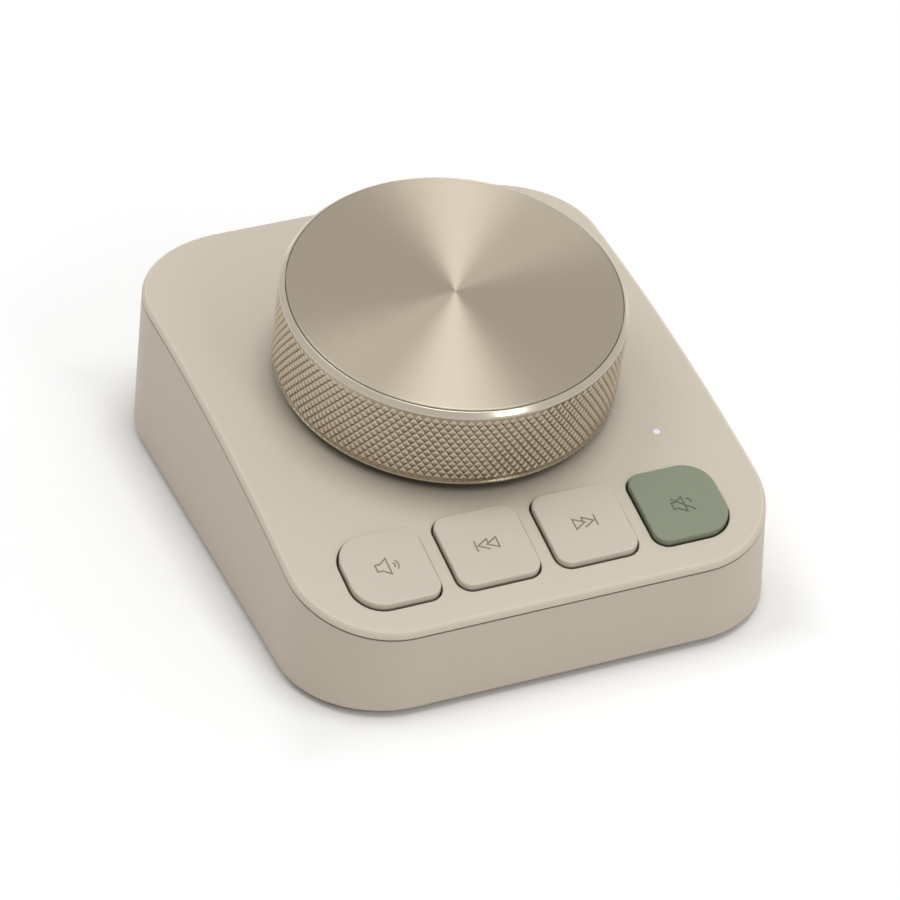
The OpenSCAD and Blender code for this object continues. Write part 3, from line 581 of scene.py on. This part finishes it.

# painted shade under the knob, on the key walls and in the parting line's gap: the axis, the distances from it where
# the painted shade is full and where it ends, the shade
# painted shadow on the deck just inside the knob's foot, seen through the gap
paintedShadowUnderKnob = (knobLine, 25.2 * mm, 26.6 * mm, 0.3)
# painted shade on the key walls below the deck's surface, inside the wells
paintedShadeInWell = (crownLine, (deckRadius - 0.1) * mm, (deckRadius + 0.1) * mm, 0.42)
# painted shade on the wall's ledge inside the parting line's gap
paintedShadeInPartingLine = (crownLine, (ledge - 0.01) * mm, (ledge - 0.05) * mm, 0.5)

finishes = {
    # deck, wall and keys carry a painted highlight along their edge roundings
    "deck": moulded("deckPlastic", (0.63, 0.547, 0.438), paintedHighlight=0.12, paintedShades=(paintedShadowUnderKnob,)),
    "wall": moulded("wallPlastic", (0.57, 0.497, 0.40), paintedHighlight=0.26, paintedShades=(paintedShadeInPartingLine,)),
    "key": moulded("keyPlastic", (0.607, 0.53, 0.428), roughness=0.45, paintedHighlight=0.12, paintedShades=(paintedShadeInWell,)),
    "greenKey": moulded("greenKeyPlastic", (0.232, 0.258, 0.172), roughness=0.45, paintedHighlight=0.1, paintedShades=(paintedShadeInWell,)),
    "base": moulded("basePlastic", (0.16, 0.145, 0.125), roughness=0.6, depth=0.3),
    "pad": moulded("padRubber", (0.05, 0.048, 0.045), roughness=0.75, grain=2200, depth=0.5),
    "ink": moulded("iconInk", (0.27, 0.20, 0.125), roughness=0.6),
    "greenInk": moulded("greenIconInk", (0.10, 0.105, 0.06), roughness=0.6),
    "black": moulded("blackMoulding", (0.02, 0.02, 0.021), roughness=0.5),
    "ivory": moulded("ivoryMoulding", (0.75, 0.70, 0.58), roughness=0.45),
    "board": moulded("solderMask", (0.02, 0.12, 0.06), roughness=0.3, grain=1500, depth=0.2),
    "ceramic": moulded("firedCeramic", (0.35, 0.24, 0.16), roughness=0.35, grain=2500),
    "ribbon": moulded("ribbonFilm", (0.78, 0.77, 0.74), roughness=0.3, grain=900),
    "tape": moulded("tapeTissue", (0.72, 0.70, 0.64), roughness=0.9, grain=1200, depth=0.5),
    "lamp": moulded("lampBody", (0.85, 0.83, 0.70), roughness=0.3),
    "steel": plainMetal("zincedSteel", (0.50, 0.50, 0.51), 0.35),
    "plated": plainMetal("nickelPlate", (0.62, 0.61, 0.59), 0.25),
    "iron": plainMetal("ballastPlate", (0.42, 0.42, 0.43), 0.45, grain=1200, mottle=0.15),
    "brass": plainMetal("plainBrass", (0.75, 0.58, 0.30), 0.3),
    "gold": plainMetal("goldContact", (0.85, 0.62, 0.25), 0.25),
    "face": turnedMetal("brushedFace", (0.395, 0.335, 0.26), 0.41, 12000, 0.2, 0.16, anisotropy=0.9),
    "satin": turnedMetal("satinRing", (0.46, 0.405, 0.33), 0.22, 5000, 0.12, 0.1, anisotropy=0.3),
    # the knurl's grooves carry painted shade
    "knurl": knurledMetal("knurledMetal", (0.475, 0.395, 0.298), 0.26, 27.03 * mm, 27.17 * mm, 0.56),
}


def makeLensMaterial():  # lit window of the status light
    material, tree, surface = startMaterial("litWindow")
    useGroup(tree, mouldGroup, surface, {
        "Colour": (0.82, 0.82, 0.86, 1), "Mottle": 0.02, "Grain": 6000, "Roughness": 0.35, "Depth": 0.1})
    surface.inputs["Emission Color"].default_value = (0.86, 0.86, 1, 1)
    surface.inputs["Emission Strength"].default_value = 0.12
    return material


finishes["lens"] = makeLensMaterial()


print("stage: case")


def makeWall():
    c = case
    r, s = c["footRound"], c["seamRound"]
    outer = [flatRing(r * (1 - math.sin(a)), c["foot"] + r * (1 - math.cos(a))) for a in quarter(6)]
    outer += [crownRing(s * (1 - math.cos(a)), -c["reveal"] - s + s * math.sin(a)) for a in quarter(4)]
    outer += [crownRing(c["revealDepth"], -c["reveal"]), crownRing(c["revealDepth"], 0)]
    inner = [crownRing(c["wall"], 0), flatRing(c["wall"], c["foot"] + c["plate"])]
    inner += [flatRing(c["lip"], c["foot"] + c["plate"]), flatRing(c["lip"], c["foot"])]
    rings = outer + inner
    points = [p for ring in rings for p in ring]
    return addPiece("caseWall", points, sideFaces(len(rings[0]), len(rings), closed=True))


socket = {
    "z": 9.03,
    "mouth": (9.24, 3.56),
    "recess": (12, 6.4),
    "recessDepth": 0.8,
    "round": 0.3,
    "back": 46.84,  # bottom of the recess, and the receptacle's own mouth
}


def socketCutters():
    r = socket["round"]
    deep, shallow = socket["mouth"], socket["recess"]

    def outlineAt(size, y, grow=0.0):
        return [(x, z + socket["z"]) for x, z in slotPoints(size[0] + 2 * grow, size[1] + 2 * grow)], y

    hole = [outlineAt(deep, socket["back"] - 5), outlineAt(deep, socket["back"] + 0.5)]
    face = case["depth"] / 2 - case["lean"] * (socket["z"] - case["foot"])
    recess = [outlineAt(shallow, socket["back"]), outlineAt(shallow, face - r)]
    recess += [outlineAt(shallow, face - r + r * math.sin(a), r * (1 - math.cos(a))) for a in quarter(4)[1:]]
    recess += [outlineAt(shallow, face + 2, r)]
    return [prismAlongY("mouthCutter", hole), prismAlongY("recessCutter", recess)]


def makeDeck():
    c = case
    s, edge = c["seamRound"], c["edge"]
    rings = [crownRing(c["wall"] + c["plugFit"], -c["plug"]), crownRing(c["wall"] + c["plugFit"], 0)]
    rings += [crownRing(s, 0), crownRing(s * 0.3, s * 0.3)]
    rings += [crownRing(edge * (1 - math.cos(a)), c["rim"] - edge * (1 - math.sin(a))) for a in quarter(8)]
    rings += [crownRing(edge + inset, c["rim"]) for inset in c["evenRings"]]
    return ringBody("deck", rings)


light = {"x": 27, "v": -22, "radius": 0.55, "fit": 0.03, "foot": -6.5, "dome": 0.03, "sides": 32}


def lightCutter():
    r = light["radius"] + light["fit"]
    return closedRings("lightCutter", [knobCircle(light["x"], light["v"], r, w, light["sides"]) for w in (-6, 3)])


wall = evenNormals(cutAway(makeWall(), socketCutters()))
finishPiece(wall, "case", "case_plastic", finishes["wall"], "lower_shell")

deck = evenNormals(cutAway(makeDeck(), [wellCutter(k) for k in range(4)] + [lightCutter()]))
finishPiece(deck, "case", "deck_plastic", finishes["deck"], "top_cover")


print("stage: keys")


def makeKey(k):
    gap, rise, edge = keys["gap"], keys["rise"], keys["edge"]
    rings = [keyFoot(k, gap, keys["foot"])]
    rings += [keyRing(k, gap + edge * (1 - math.cos(a)), rise - edge + edge * math.sin(a)) for a in quarter(8)]
    for inset in keys["evenRings"]:
        rings.append(keyRing(k, gap + edge + inset, rise))
    return closedRings("key_" + keys["names"][k], rings)


for k, name in enumerate(keys["names"]):
    key = evenNormals(makeKey(k))
    key.name = key.data.name = name + "Key"
    finish = finishes["greenKey" if name == "mute" else "key"]
    finishPiece(key, name, "green_plastic" if name == "mute" else "key_plastic", finish, "key_" + name)


print("stage: icons")

icons = {"stroke": 0.21, "sink": 0.05, "proud": 0.012, "sharpest": 0.4}  # cosine at which a mitre stops growing


def arcPoints(centre, radius, low, high, steps=8):
    angles = [math.radians(low + (high - low) * i / steps) for i in range(steps + 1)]
    return [(centre[0] + radius * math.cos(a), centre[1] + radius * math.sin(a)) for a in angles]


def strokeSides(line, closed):  # left and right edge of a stroke with mitred corners
    left, right = [], []
    count = len(line)
    for i, (x, y) in enumerate(line):
        before = line[i - 1] if closed or i else None
        after = line[(i + 1) % count] if closed or i < count - 1 else None
        directions = [Vector((x - before[0], y - before[1])).normalized()] if before else []
        directions += [Vector((after[0] - x, after[1] - y)).normalized()] if after else []
        normals = [Vector((-d.y, d.x)) for d in directions]
        mid = sum(normals, Vector((0, 0))).normalized()
        reach = icons["stroke"] / 2 / max(icons["sharpest"], mid.dot(normals[0]))
        left.append((x + mid.x * reach, y + mid.y * reach))
        right.append((x - mid.x * reach, y - mid.y * reach))
    return left, right


def addStroke(points, faces, k, line, closed):
    left, right = strokeSides(line, closed)
    first = len(points)
    for l, r in zip(left, right):
        for (x, y), rise in ((l, icons["proud"]), (r, icons["proud"]), (r, -icons["sink"]), (l, -icons["sink"])):
            v = y - keys["row"]
            points.append(onKnob(keyX(k) + x, v, deckW(v, keys["rise"] + rise)))
    count = len(line)
    for i in range(count if closed else count - 1):
        a, b = first + 4 * i, first + 4 * ((i + 1) % count)
        for c in range(4):
            d = (c + 1) % 4
            faces.append((a + c, b + c, b + d, a + d))
    if not closed:
        faces.append((first, first + 1, first + 2, first + 3))
        faces.append(tuple(first + 4 * (count - 1) + c for c in (3, 2, 1, 0)))


def speakerLine(x, size):
    corners = [(-1, -0.6), (-1, 0.6), (-0.25, 0.6), (0.85, 1.42), (0.85, -1.42), (-0.25, -0.6)]
    return [(x + a * size, b * size) for a, b in corners]


muteDrop = -0.75  # its icon sits nearer the front


def iconLines(name):  # (line, closed) in the plane of the key, right and back
    if name == "volume":
        waves = [(arcPoints((0.55, 0), r, -45, 45), False) for r in (0.62, 1.2)]
        return [(speakerLine(-0.75, 1.08), True)] + waves
    if name == "mute":
        lines = [(speakerLine(-0.7, 1.05), True), ([(-1.6, 1.45), (1.6, -1.45)], False)]
        lines += [(arcPoints((0.4, 0), 1.1, 0, 65), False)]
        return [([(x, y + muteDrop) for x, y in line], closed) for line, closed in lines]
    side = 1 if name == "next" else -1
    bar = [(side * 1.8, -1.05), (side * 1.8, 1.05)]
    inner = [(side * -1.75, -1.0), (side * -1.75, 1.0), (0, 0)]
    outer = [(side * -0.25, 0.3), (side * -0.25, 1.0), (side * 1.45, 0), (side * -0.25, -1.0)]
    return [(bar, False), (inner, True), (outer, False)]


for k, name in enumerate(keys["names"]):
    points, faces = [], []
    for line, closed in iconLines(name):
        addStroke(points, faces, k, line, closed)
    icon = addPiece(name + "Icon", points, faces)
    green = name == "mute"
    finishPiece(icon, name, "green_plastic" if green else "key_plastic", finishes["greenInk" if green else "ink"])


print("stage: knob")

knob = {
    "radius": 27.25,
    "foot": 2.2,
    "top": 17,  # of the ring
    "faceRadius": 26.2,
    "faceFit": 0.09,
    "faceThick": 0.8,
    "faceTop": 17.2,
    "faceRound": 0.28,
    "lip": 0.2,  # flat top of the ring, round the face
    "chamfer": 0.75,
    "topBand": 0.35,  # plain bands over and under the knurl
    "lowBand": 0.4,
    "bandDrop": 0.03,  # below the knurl's tips
    "wall": 2.9,
    "web": 14,  # underside and top of the wall that carries the face
    "webTop": 16.2,
    "depth": 0.22,  # of the grooves
    "teeth": 128,
    "rows": 14,
    "flat": 0.42,  # a tooth's tip, as a share of its foot
}
knurlLow = knob["foot"] + knob["lowBand"]
knurlHigh = knob["top"] - knob["chamfer"] - knob["topBand"]


def softCorner(before, corner, after, size, steps=3):  # rounds one corner of a profile
    p, q, r = (Vector(v) for v in (before, corner, after))
    start = q + (p - q).normalized() * size
    end = q + (r - q).normalized() * size
    points = []
    for i in range(steps + 1):
        t = i / steps
        points.append(tuple(start * (1 - t) ** 2 + q * 2 * t * (1 - t) + end * t * t))
    return points


def makeKnobRing():
    d = knob
    seat = d["faceRadius"] + d["faceFit"]
    band = d["radius"] - d["bandDrop"]
    root = d["radius"] - d["depth"]
    inner = d["radius"] - d["wall"]
    corners = [  # radius, height, rounding
        (inner, d["web"], 0), (inner, d["foot"], 0.15), (band, d["foot"], 0.25), (band, knurlLow, 0.04),
        (root, knurlLow, 0), (root, knurlHigh, 0), (band, knurlHigh, 0.04), (band, d["top"] - d["chamfer"], 0.2),
        (seat + d["lip"], d["top"], 0.07), (seat, d["top"], 0.07), (seat, d["webTop"], 0)]
    profile = [(0, d["web"])]
    for i, (radius, w, rounding) in enumerate(corners):
        if rounding:
            profile += softCorner(corners[i - 1][:2], (radius, w), corners[i + 1][:2], rounding)
        else:
            profile.append((radius, w))
    profile.append((0, d["webTop"]))
    return profile


def turnedSolid(name, profile, segments=256):  # the profile starts and ends on the axis
    points = [onKnob(0, 0, profile[0][1])]
    for radius, w in profile[1:-1]:
        points += knobCircle(0, 0, radius, w, segments)
    points.append(onKnob(0, 0, profile[-1][1]))
    rings = len(profile) - 2
    faces = [tuple(v + 1 for v in f) for f in sideFaces(segments, rings)]
    last = len(points) - 1
    for i in range(segments):
        j = (i + 1) % segments
        faces.append((0, 1 + j, 1 + i))
        faces.append((last, last - segments + i, last - segments + j))
    return addPiece(name, points, faces)


def makeFace():
    d = knob
    top = d["faceTop"]
    r = d["faceRadius"]
    corners = [(r, top - d["faceThick"]), (r, top)]
    profile = [(0, top - d["faceThick"]), corners[0]]
    profile += softCorner(corners[0], corners[1], (0, top), d["faceRound"], 6)
    profile += [(r - 0.6, top), (r * 0.75, top), (r * 0.5, top), (r * 0.25, top), (1.2, top), (0.35, top)]
    profile += [(0.12, top - 0.03), (0, top - 0.06)]  # the mark that turning leaves at the centre
    return turnedSolid("knobFace", profile)


def makeKnurlTree():
    tree = bpy.data.node_groups.new("knurlTeeth", "GeometryNodeTree")
    for label, kind in (("Teeth", "NodeSocketInt"), ("Rows", "NodeSocketInt"), ("Root Radius", "NodeSocketFloat"),
                        ("Low", "NodeSocketFloat"), ("Row Step", "NodeSocketFloat"), ("Depth", "NodeSocketFloat"),
                        ("Flat", "NodeSocketFloat"), ("Finish", "NodeSocketMaterial")):
        tree.interface.new_socket(label, in_out="INPUT", socket_type=kind)
    tree.interface.new_socket("Geometry", in_out="OUTPUT", socket_type="NodeSocketGeometry")
    given, out = tree.nodes.new("NodeGroupInput"), tree.nodes.new("NodeGroupOutput")

    def maths(operation, first, second=None):
        node = addNode(tree, "ShaderNodeMath", {"operation": operation})
        for socket, value in zip(node.inputs, (first, second)):
            if value is None:
                continue
            if isinstance(value, (int, float)):
                socket.default_value = value
            else:
                join(tree, value, socket)
        return node.outputs[0]

    index = tree.nodes.new("GeometryNodeInputIndex").outputs[0]
    teeth = given.outputs["Teeth"]
    row = maths("FLOOR", maths("DIVIDE", maths("ADD", index, 0.5), teeth))
    column = maths("SUBTRACT", index, maths("MULTIPLY", row, teeth))
    shift = maths("MULTIPLY", maths("MODULO", row, 2), 0.5)
    angle = maths("DIVIDE", maths("MULTIPLY", maths("ADD", column, shift), 2 * math.pi), teeth)
    radius = given.outputs["Root Radius"]
    spot = addNode(tree, "ShaderNodeCombineXYZ")
    join(tree, maths("MULTIPLY", maths("COSINE", angle), radius), spot.inputs[0])
    join(tree, maths("MULTIPLY", maths("SINE", angle), radius), spot.inputs[1])
    join(tree, maths("ADD", maths("MULTIPLY", row, given.outputs["Row Step"]), given.outputs["Low"]), spot.inputs[2])
    cloud = addNode(tree, "GeometryNodePoints")
    join(tree, maths("MULTIPLY", teeth, given.outputs["Rows"]), cloud.inputs["Count"])
    join(tree, spot.outputs[0], cloud.inputs["Position"])

    tooth = addNode(tree, "GeometryNodeMeshCone", {"fill_type": "NGON"},
                    Vertices=4, Radius_Bottom=1, Depth=1)
    join(tree, given.outputs["Flat"], tooth.inputs["Radius Top"])
    turn = addNode(tree, "ShaderNodeCombineXYZ", Y=math.pi / 2)
    join(tree, angle, turn.inputs["Z"])
    euler = addNode(tree, "FunctionNodeEulerToRotation")
    join(tree, turn.outputs[0], euler.inputs[0])
    size = addNode(tree, "ShaderNodeCombineXYZ")
    join(tree, given.outputs["Row Step"], size.inputs[0])
    join(tree, maths("DIVIDE", maths("MULTIPLY", radius, math.pi), teeth), size.inputs[1])
    join(tree, given.outputs["Depth"], size.inputs[2])
    place = addNode(tree, "GeometryNodeInstanceOnPoints")
    join(tree, cloud.outputs[0], place.inputs["Points"])
    join(tree, tooth.outputs["Mesh"], place.inputs["Instance"])
    join(tree, euler.outputs[0], place.inputs["Rotation"])
    join(tree, size.outputs[0], place.inputs["Scale"])
    real = addNode(tree, "GeometryNodeRealizeInstances")
    join(tree, place.outputs[0], real.inputs[0])
    painted = addNode(tree, "GeometryNodeSetMaterial")
    join(tree, real.outputs[0], painted.inputs["Geometry"])
    join(tree, given.outputs["Finish"], painted.inputs["Material"])
    join(tree, painted.outputs[0], out.inputs["Geometry"])
    return tree


def runTree(name, tree, values):  # one plain mesh from a node tree
    piece = bpy.data.objects.new(name, bpy.data.meshes.new(name))
    bpy.context.scene.collection.objects.link(piece)
    maker = piece.modifiers.new("maker", "NODES")
    maker.node_group = tree
    for item in tree.interface.items_tree:
        if item.in_out == "INPUT" and item.name in values:
            maker[item.identifier] = values[item.name]
    settle(piece)
    piece.data.name = name
    return piece


def makeKnurl():
    d = knob
    step = (knurlHigh - knurlLow) / d["rows"]
    piece = runTree("knobKnurl", makeKnurlTree(), {
        "Teeth": d["teeth"],
        "Rows": d["rows"] - 1,
        "Root Radius": (d["radius"] - d["depth"]) * mm,
        "Low": (knurlLow + step) * mm,
        "Row Step": step * mm,
        "Depth": d["depth"] * mm,
        "Flat": d["flat"],
        "Finish": finishes["knurl"],
    })
    place = knobFrame.copy()
    place.translation *= mm
    piece.data.transform(place)
    piece.data.shade_flat()
    return piece


ring = evenNormals(turnedSolid("knobRing", makeKnobRing()))
finishPiece(ring, "knob", "knob_metal", finishes["satin"], "knob_grip")
knurl = makeKnurl()
finishPiece(knurl, "knob", "knob_metal", finishes["knurl"], "knob_grip")
face = evenNormals(makeFace())
finishPiece(face, "knob", "face_metal", finishes["face"], "knob_face")


print("stage: status light")


def makeLens():  # a low dome, flush with the deck
    segments, r, dome = light["sides"], light["radius"], light["dome"]
    level = deckW(light["v"], 0)
    rings = [(r, light["foot"])]
    rings += [(r * math.cos(a), level - dome + 2 * dome * math.sin(a)) for a in quarter(5)[:-1]]
    points = [p for radius, w in rings for p in knobCircle(light["x"], light["v"], radius, w, segments)]
    points.append(onKnob(light["x"], light["v"], level + dome))
    faces = sideFaces(segments, len(rings)) + [tuple(range(segments))]
    last = segments * (len(rings) - 1)
    faces += [(last + i, last + (i + 1) % segments, len(points) - 1) for i in range(segments)]
    return addPiece("lightWindow", points, faces)


finishPiece(makeLens(), "case", "clear_plastic", finishes["lens"], "light_pipe")


print("stage: fittings")

nodeFinishes = {
    "base_plate": "base", "base_pad": "pad", "case_screws": "steel", "ballast": "iron", "ballast_screws": "steel",
    "control_board": "board", "control_board_screws": "steel", "main_board": "board", "main_board_screws": "steel",
    "controller_chip": "black", "board_parts": "ceramic", "usb_socket": "plated", "usb_insert": "black",
    "ribbon_cable": "ribbon", "ribbon_sockets": "ivory", "encoder_base": "black", "encoder_bushing": "plated",
    "encoder_washer": "plated", "encoder_nut": "brass", "press_plunger": "ivory", "encoder_shaft": "plated",
    "knob_hub": "black", "hub_screws": "steel", "face_tape": "tape", "key_switches": "black",
    "button_volume": "ivory", "button_previous": "ivory", "button_next": "ivory", "button_mute": "ivory",
    "status_led": "lamp",
}
for name, finish in nodeFinishes.items():
    nodes[name].data.materials.clear()
    nodes[name].data.materials.append(finishes[finish])


print("stage: floor and light")

studio = {
    "world": 0.52,  # level of the sky for the object; seen by itself it is white
    "slope": 0.16,  # more of it from the right
    "floorLift": 0.08,  # the floor's own light near the object, none beside its foot, so a painted contact shadow lies there
    "liftRise": 7 * mm,  # from the foot to where that light is full, the width of the painted contact shadow
    "whiteRange": (0.15, 0.6),  # metres from the middle, over which the floor turns white
    "lampColour": (0.885, 0.95, 1),
    "lamps": {
        "softboxAbove": {"place": (0.13, 0.0, 1.14), "size": 0.44, "power": 4.1},
        "softboxLeft": {"place": (-0.41, 0.28, 1.03), "size": 0.55, "power": 2.1},
        "softboxFront": {"place": (0.30, -0.95, 0.70), "size": 0.3, "power": 1.5},
    },
}


def brightRays(tree):  # 1 for rays that see the background itself or in a reflection
    rays = addNode(tree, "ShaderNodeLightPath")
    first = addNode(tree, "ShaderNodeMath", {"operation": "MAXIMUM"})
    join(tree, rays.outputs["Is Camera Ray"], first.inputs[0])
    join(tree, rays.outputs["Is Glossy Ray"], first.inputs[1])
    second = addNode(tree, "ShaderNodeMath", {"operation": "MAXIMUM"})
    join(tree, first.outputs[0], second.inputs[0])
    join(tree, rays.outputs["Is Transmission Ray"], second.inputs[1])
    return second.outputs[0]


def makeWorld():
    world = bpy.data.worlds.new("studioWorld")
    world.use_nodes = True
    tree = world.node_tree
    sky = tree.nodes["Background"]
    sky.inputs["Color"].default_value = (1, 1, 1, 1)
    direction = addNode(tree, "ShaderNodeTexCoord")
    parts = addNode(tree, "ShaderNodeSeparateXYZ")
    join(tree, direction.outputs["Generated"], parts.inputs[0])
    shade = addNode(tree, "ShaderNodeMath", {"operation": "MULTIPLY_ADD"})
    shade.inputs[1].default_value = studio["slope"]
    shade.inputs[2].default_value = studio["world"]
    join(tree, parts.outputs["X"], shade.inputs[0])
    level = mapRange(tree, brightRays(tree), 0, 1, 0, 1, "LINEAR")
    join(tree, shade.outputs[0], level.inputs["To Min"])
    join(tree, level.outputs[0], sky.inputs["Strength"])
    bpy.context.scene.world = world


def makeFloor():
    reach = 3
    corners = [(-reach, -reach, 0), (reach, -reach, 0), (reach, reach, 0), (-reach, reach, 0)]
    mesh = bpy.data.meshes.new("floor")
    mesh.from_pydata(corners, [], [(0, 1, 2, 3)])
    floor = bpy.data.objects.new("floor", mesh)
    bpy.context.scene.collection.objects.link(floor)
    material, tree, surface = startMaterial("floorPaper")
    surface.inputs["Base Color"].default_value = (0.98, 0.95, 0.925, 1)
    surface.inputs["Roughness"].default_value = 0.9
    surface.inputs["Specular IOR Level"].default_value = 0.1
    surface.inputs["Emission Color"].default_value = (1, 1, 1, 1)
    place = addNode(tree, "ShaderNodeTexCoord").outputs["Object"]
    length = addNode(tree, "ShaderNodeVectorMath", {"operation": "LENGTH"})
    join(tree, place, length.inputs[0])
    size = addNode(tree, "ShaderNodeVectorMath", {"operation": "ABSOLUTE"})
    join(tree, place, size.inputs[0])
    beyond = addNode(tree, "ShaderNodeVectorMath", {"operation": "SUBTRACT"})
    beyond.inputs[1].default_value = (case["width"] / 2 * mm, case["depth"] / 2 * mm, 0)
    join(tree, size.outputs[0], beyond.inputs[0])
    parts = addNode(tree, "ShaderNodeSeparateXYZ")
    join(tree, beyond.outputs[0], parts.inputs[0])
    apart = addNode(tree, "ShaderNodeMath", {"operation": "MAXIMUM"})
    join(tree, parts.outputs[0], apart.inputs[0])
    join(tree, parts.outputs[1], apart.inputs[1])
    # painted contact shadow: the floor's lift is none beside the foot
    near = mapRange(tree, apart.outputs[0], 0, studio["liftRise"], 0, studio["floorLift"], "LINEAR")
    far = mapRange(tree, length.outputs["Value"], *studio["whiteRange"], 0, 1)
    join(tree, near.outputs[0], far.inputs["To Min"])
    lift = addNode(tree, "ShaderNodeMath", {"operation": "MULTIPLY"})
    join(tree, far.outputs[0], lift.inputs[1])
    join(tree, brightRays(tree), lift.inputs[0])
    join(tree, lift.outputs[0], surface.inputs["Emission Strength"])
    mesh.materials.append(material)


def addSoftbox(name, values):
    data = bpy.data.lights.new(name, "AREA")
    data.shape = "DISK"
    data.size = values["size"]
    data.color = studio["lampColour"]
    data.energy = values["power"]
    lamp = bpy.data.objects.new(name, data)
    lamp.location = values["place"]
    lamp.rotation_euler = Vector(values["place"]).to_track_quat("Z", "Y").to_euler()
    bpy.context.scene.collection.objects.link(lamp)


makeWorld()
makeFloor()
for name, values in studio["lamps"].items():
    addSoftbox(name, values)

bpy.context.scene.view_settings.view_transform = "Standard"


print("stage: done")
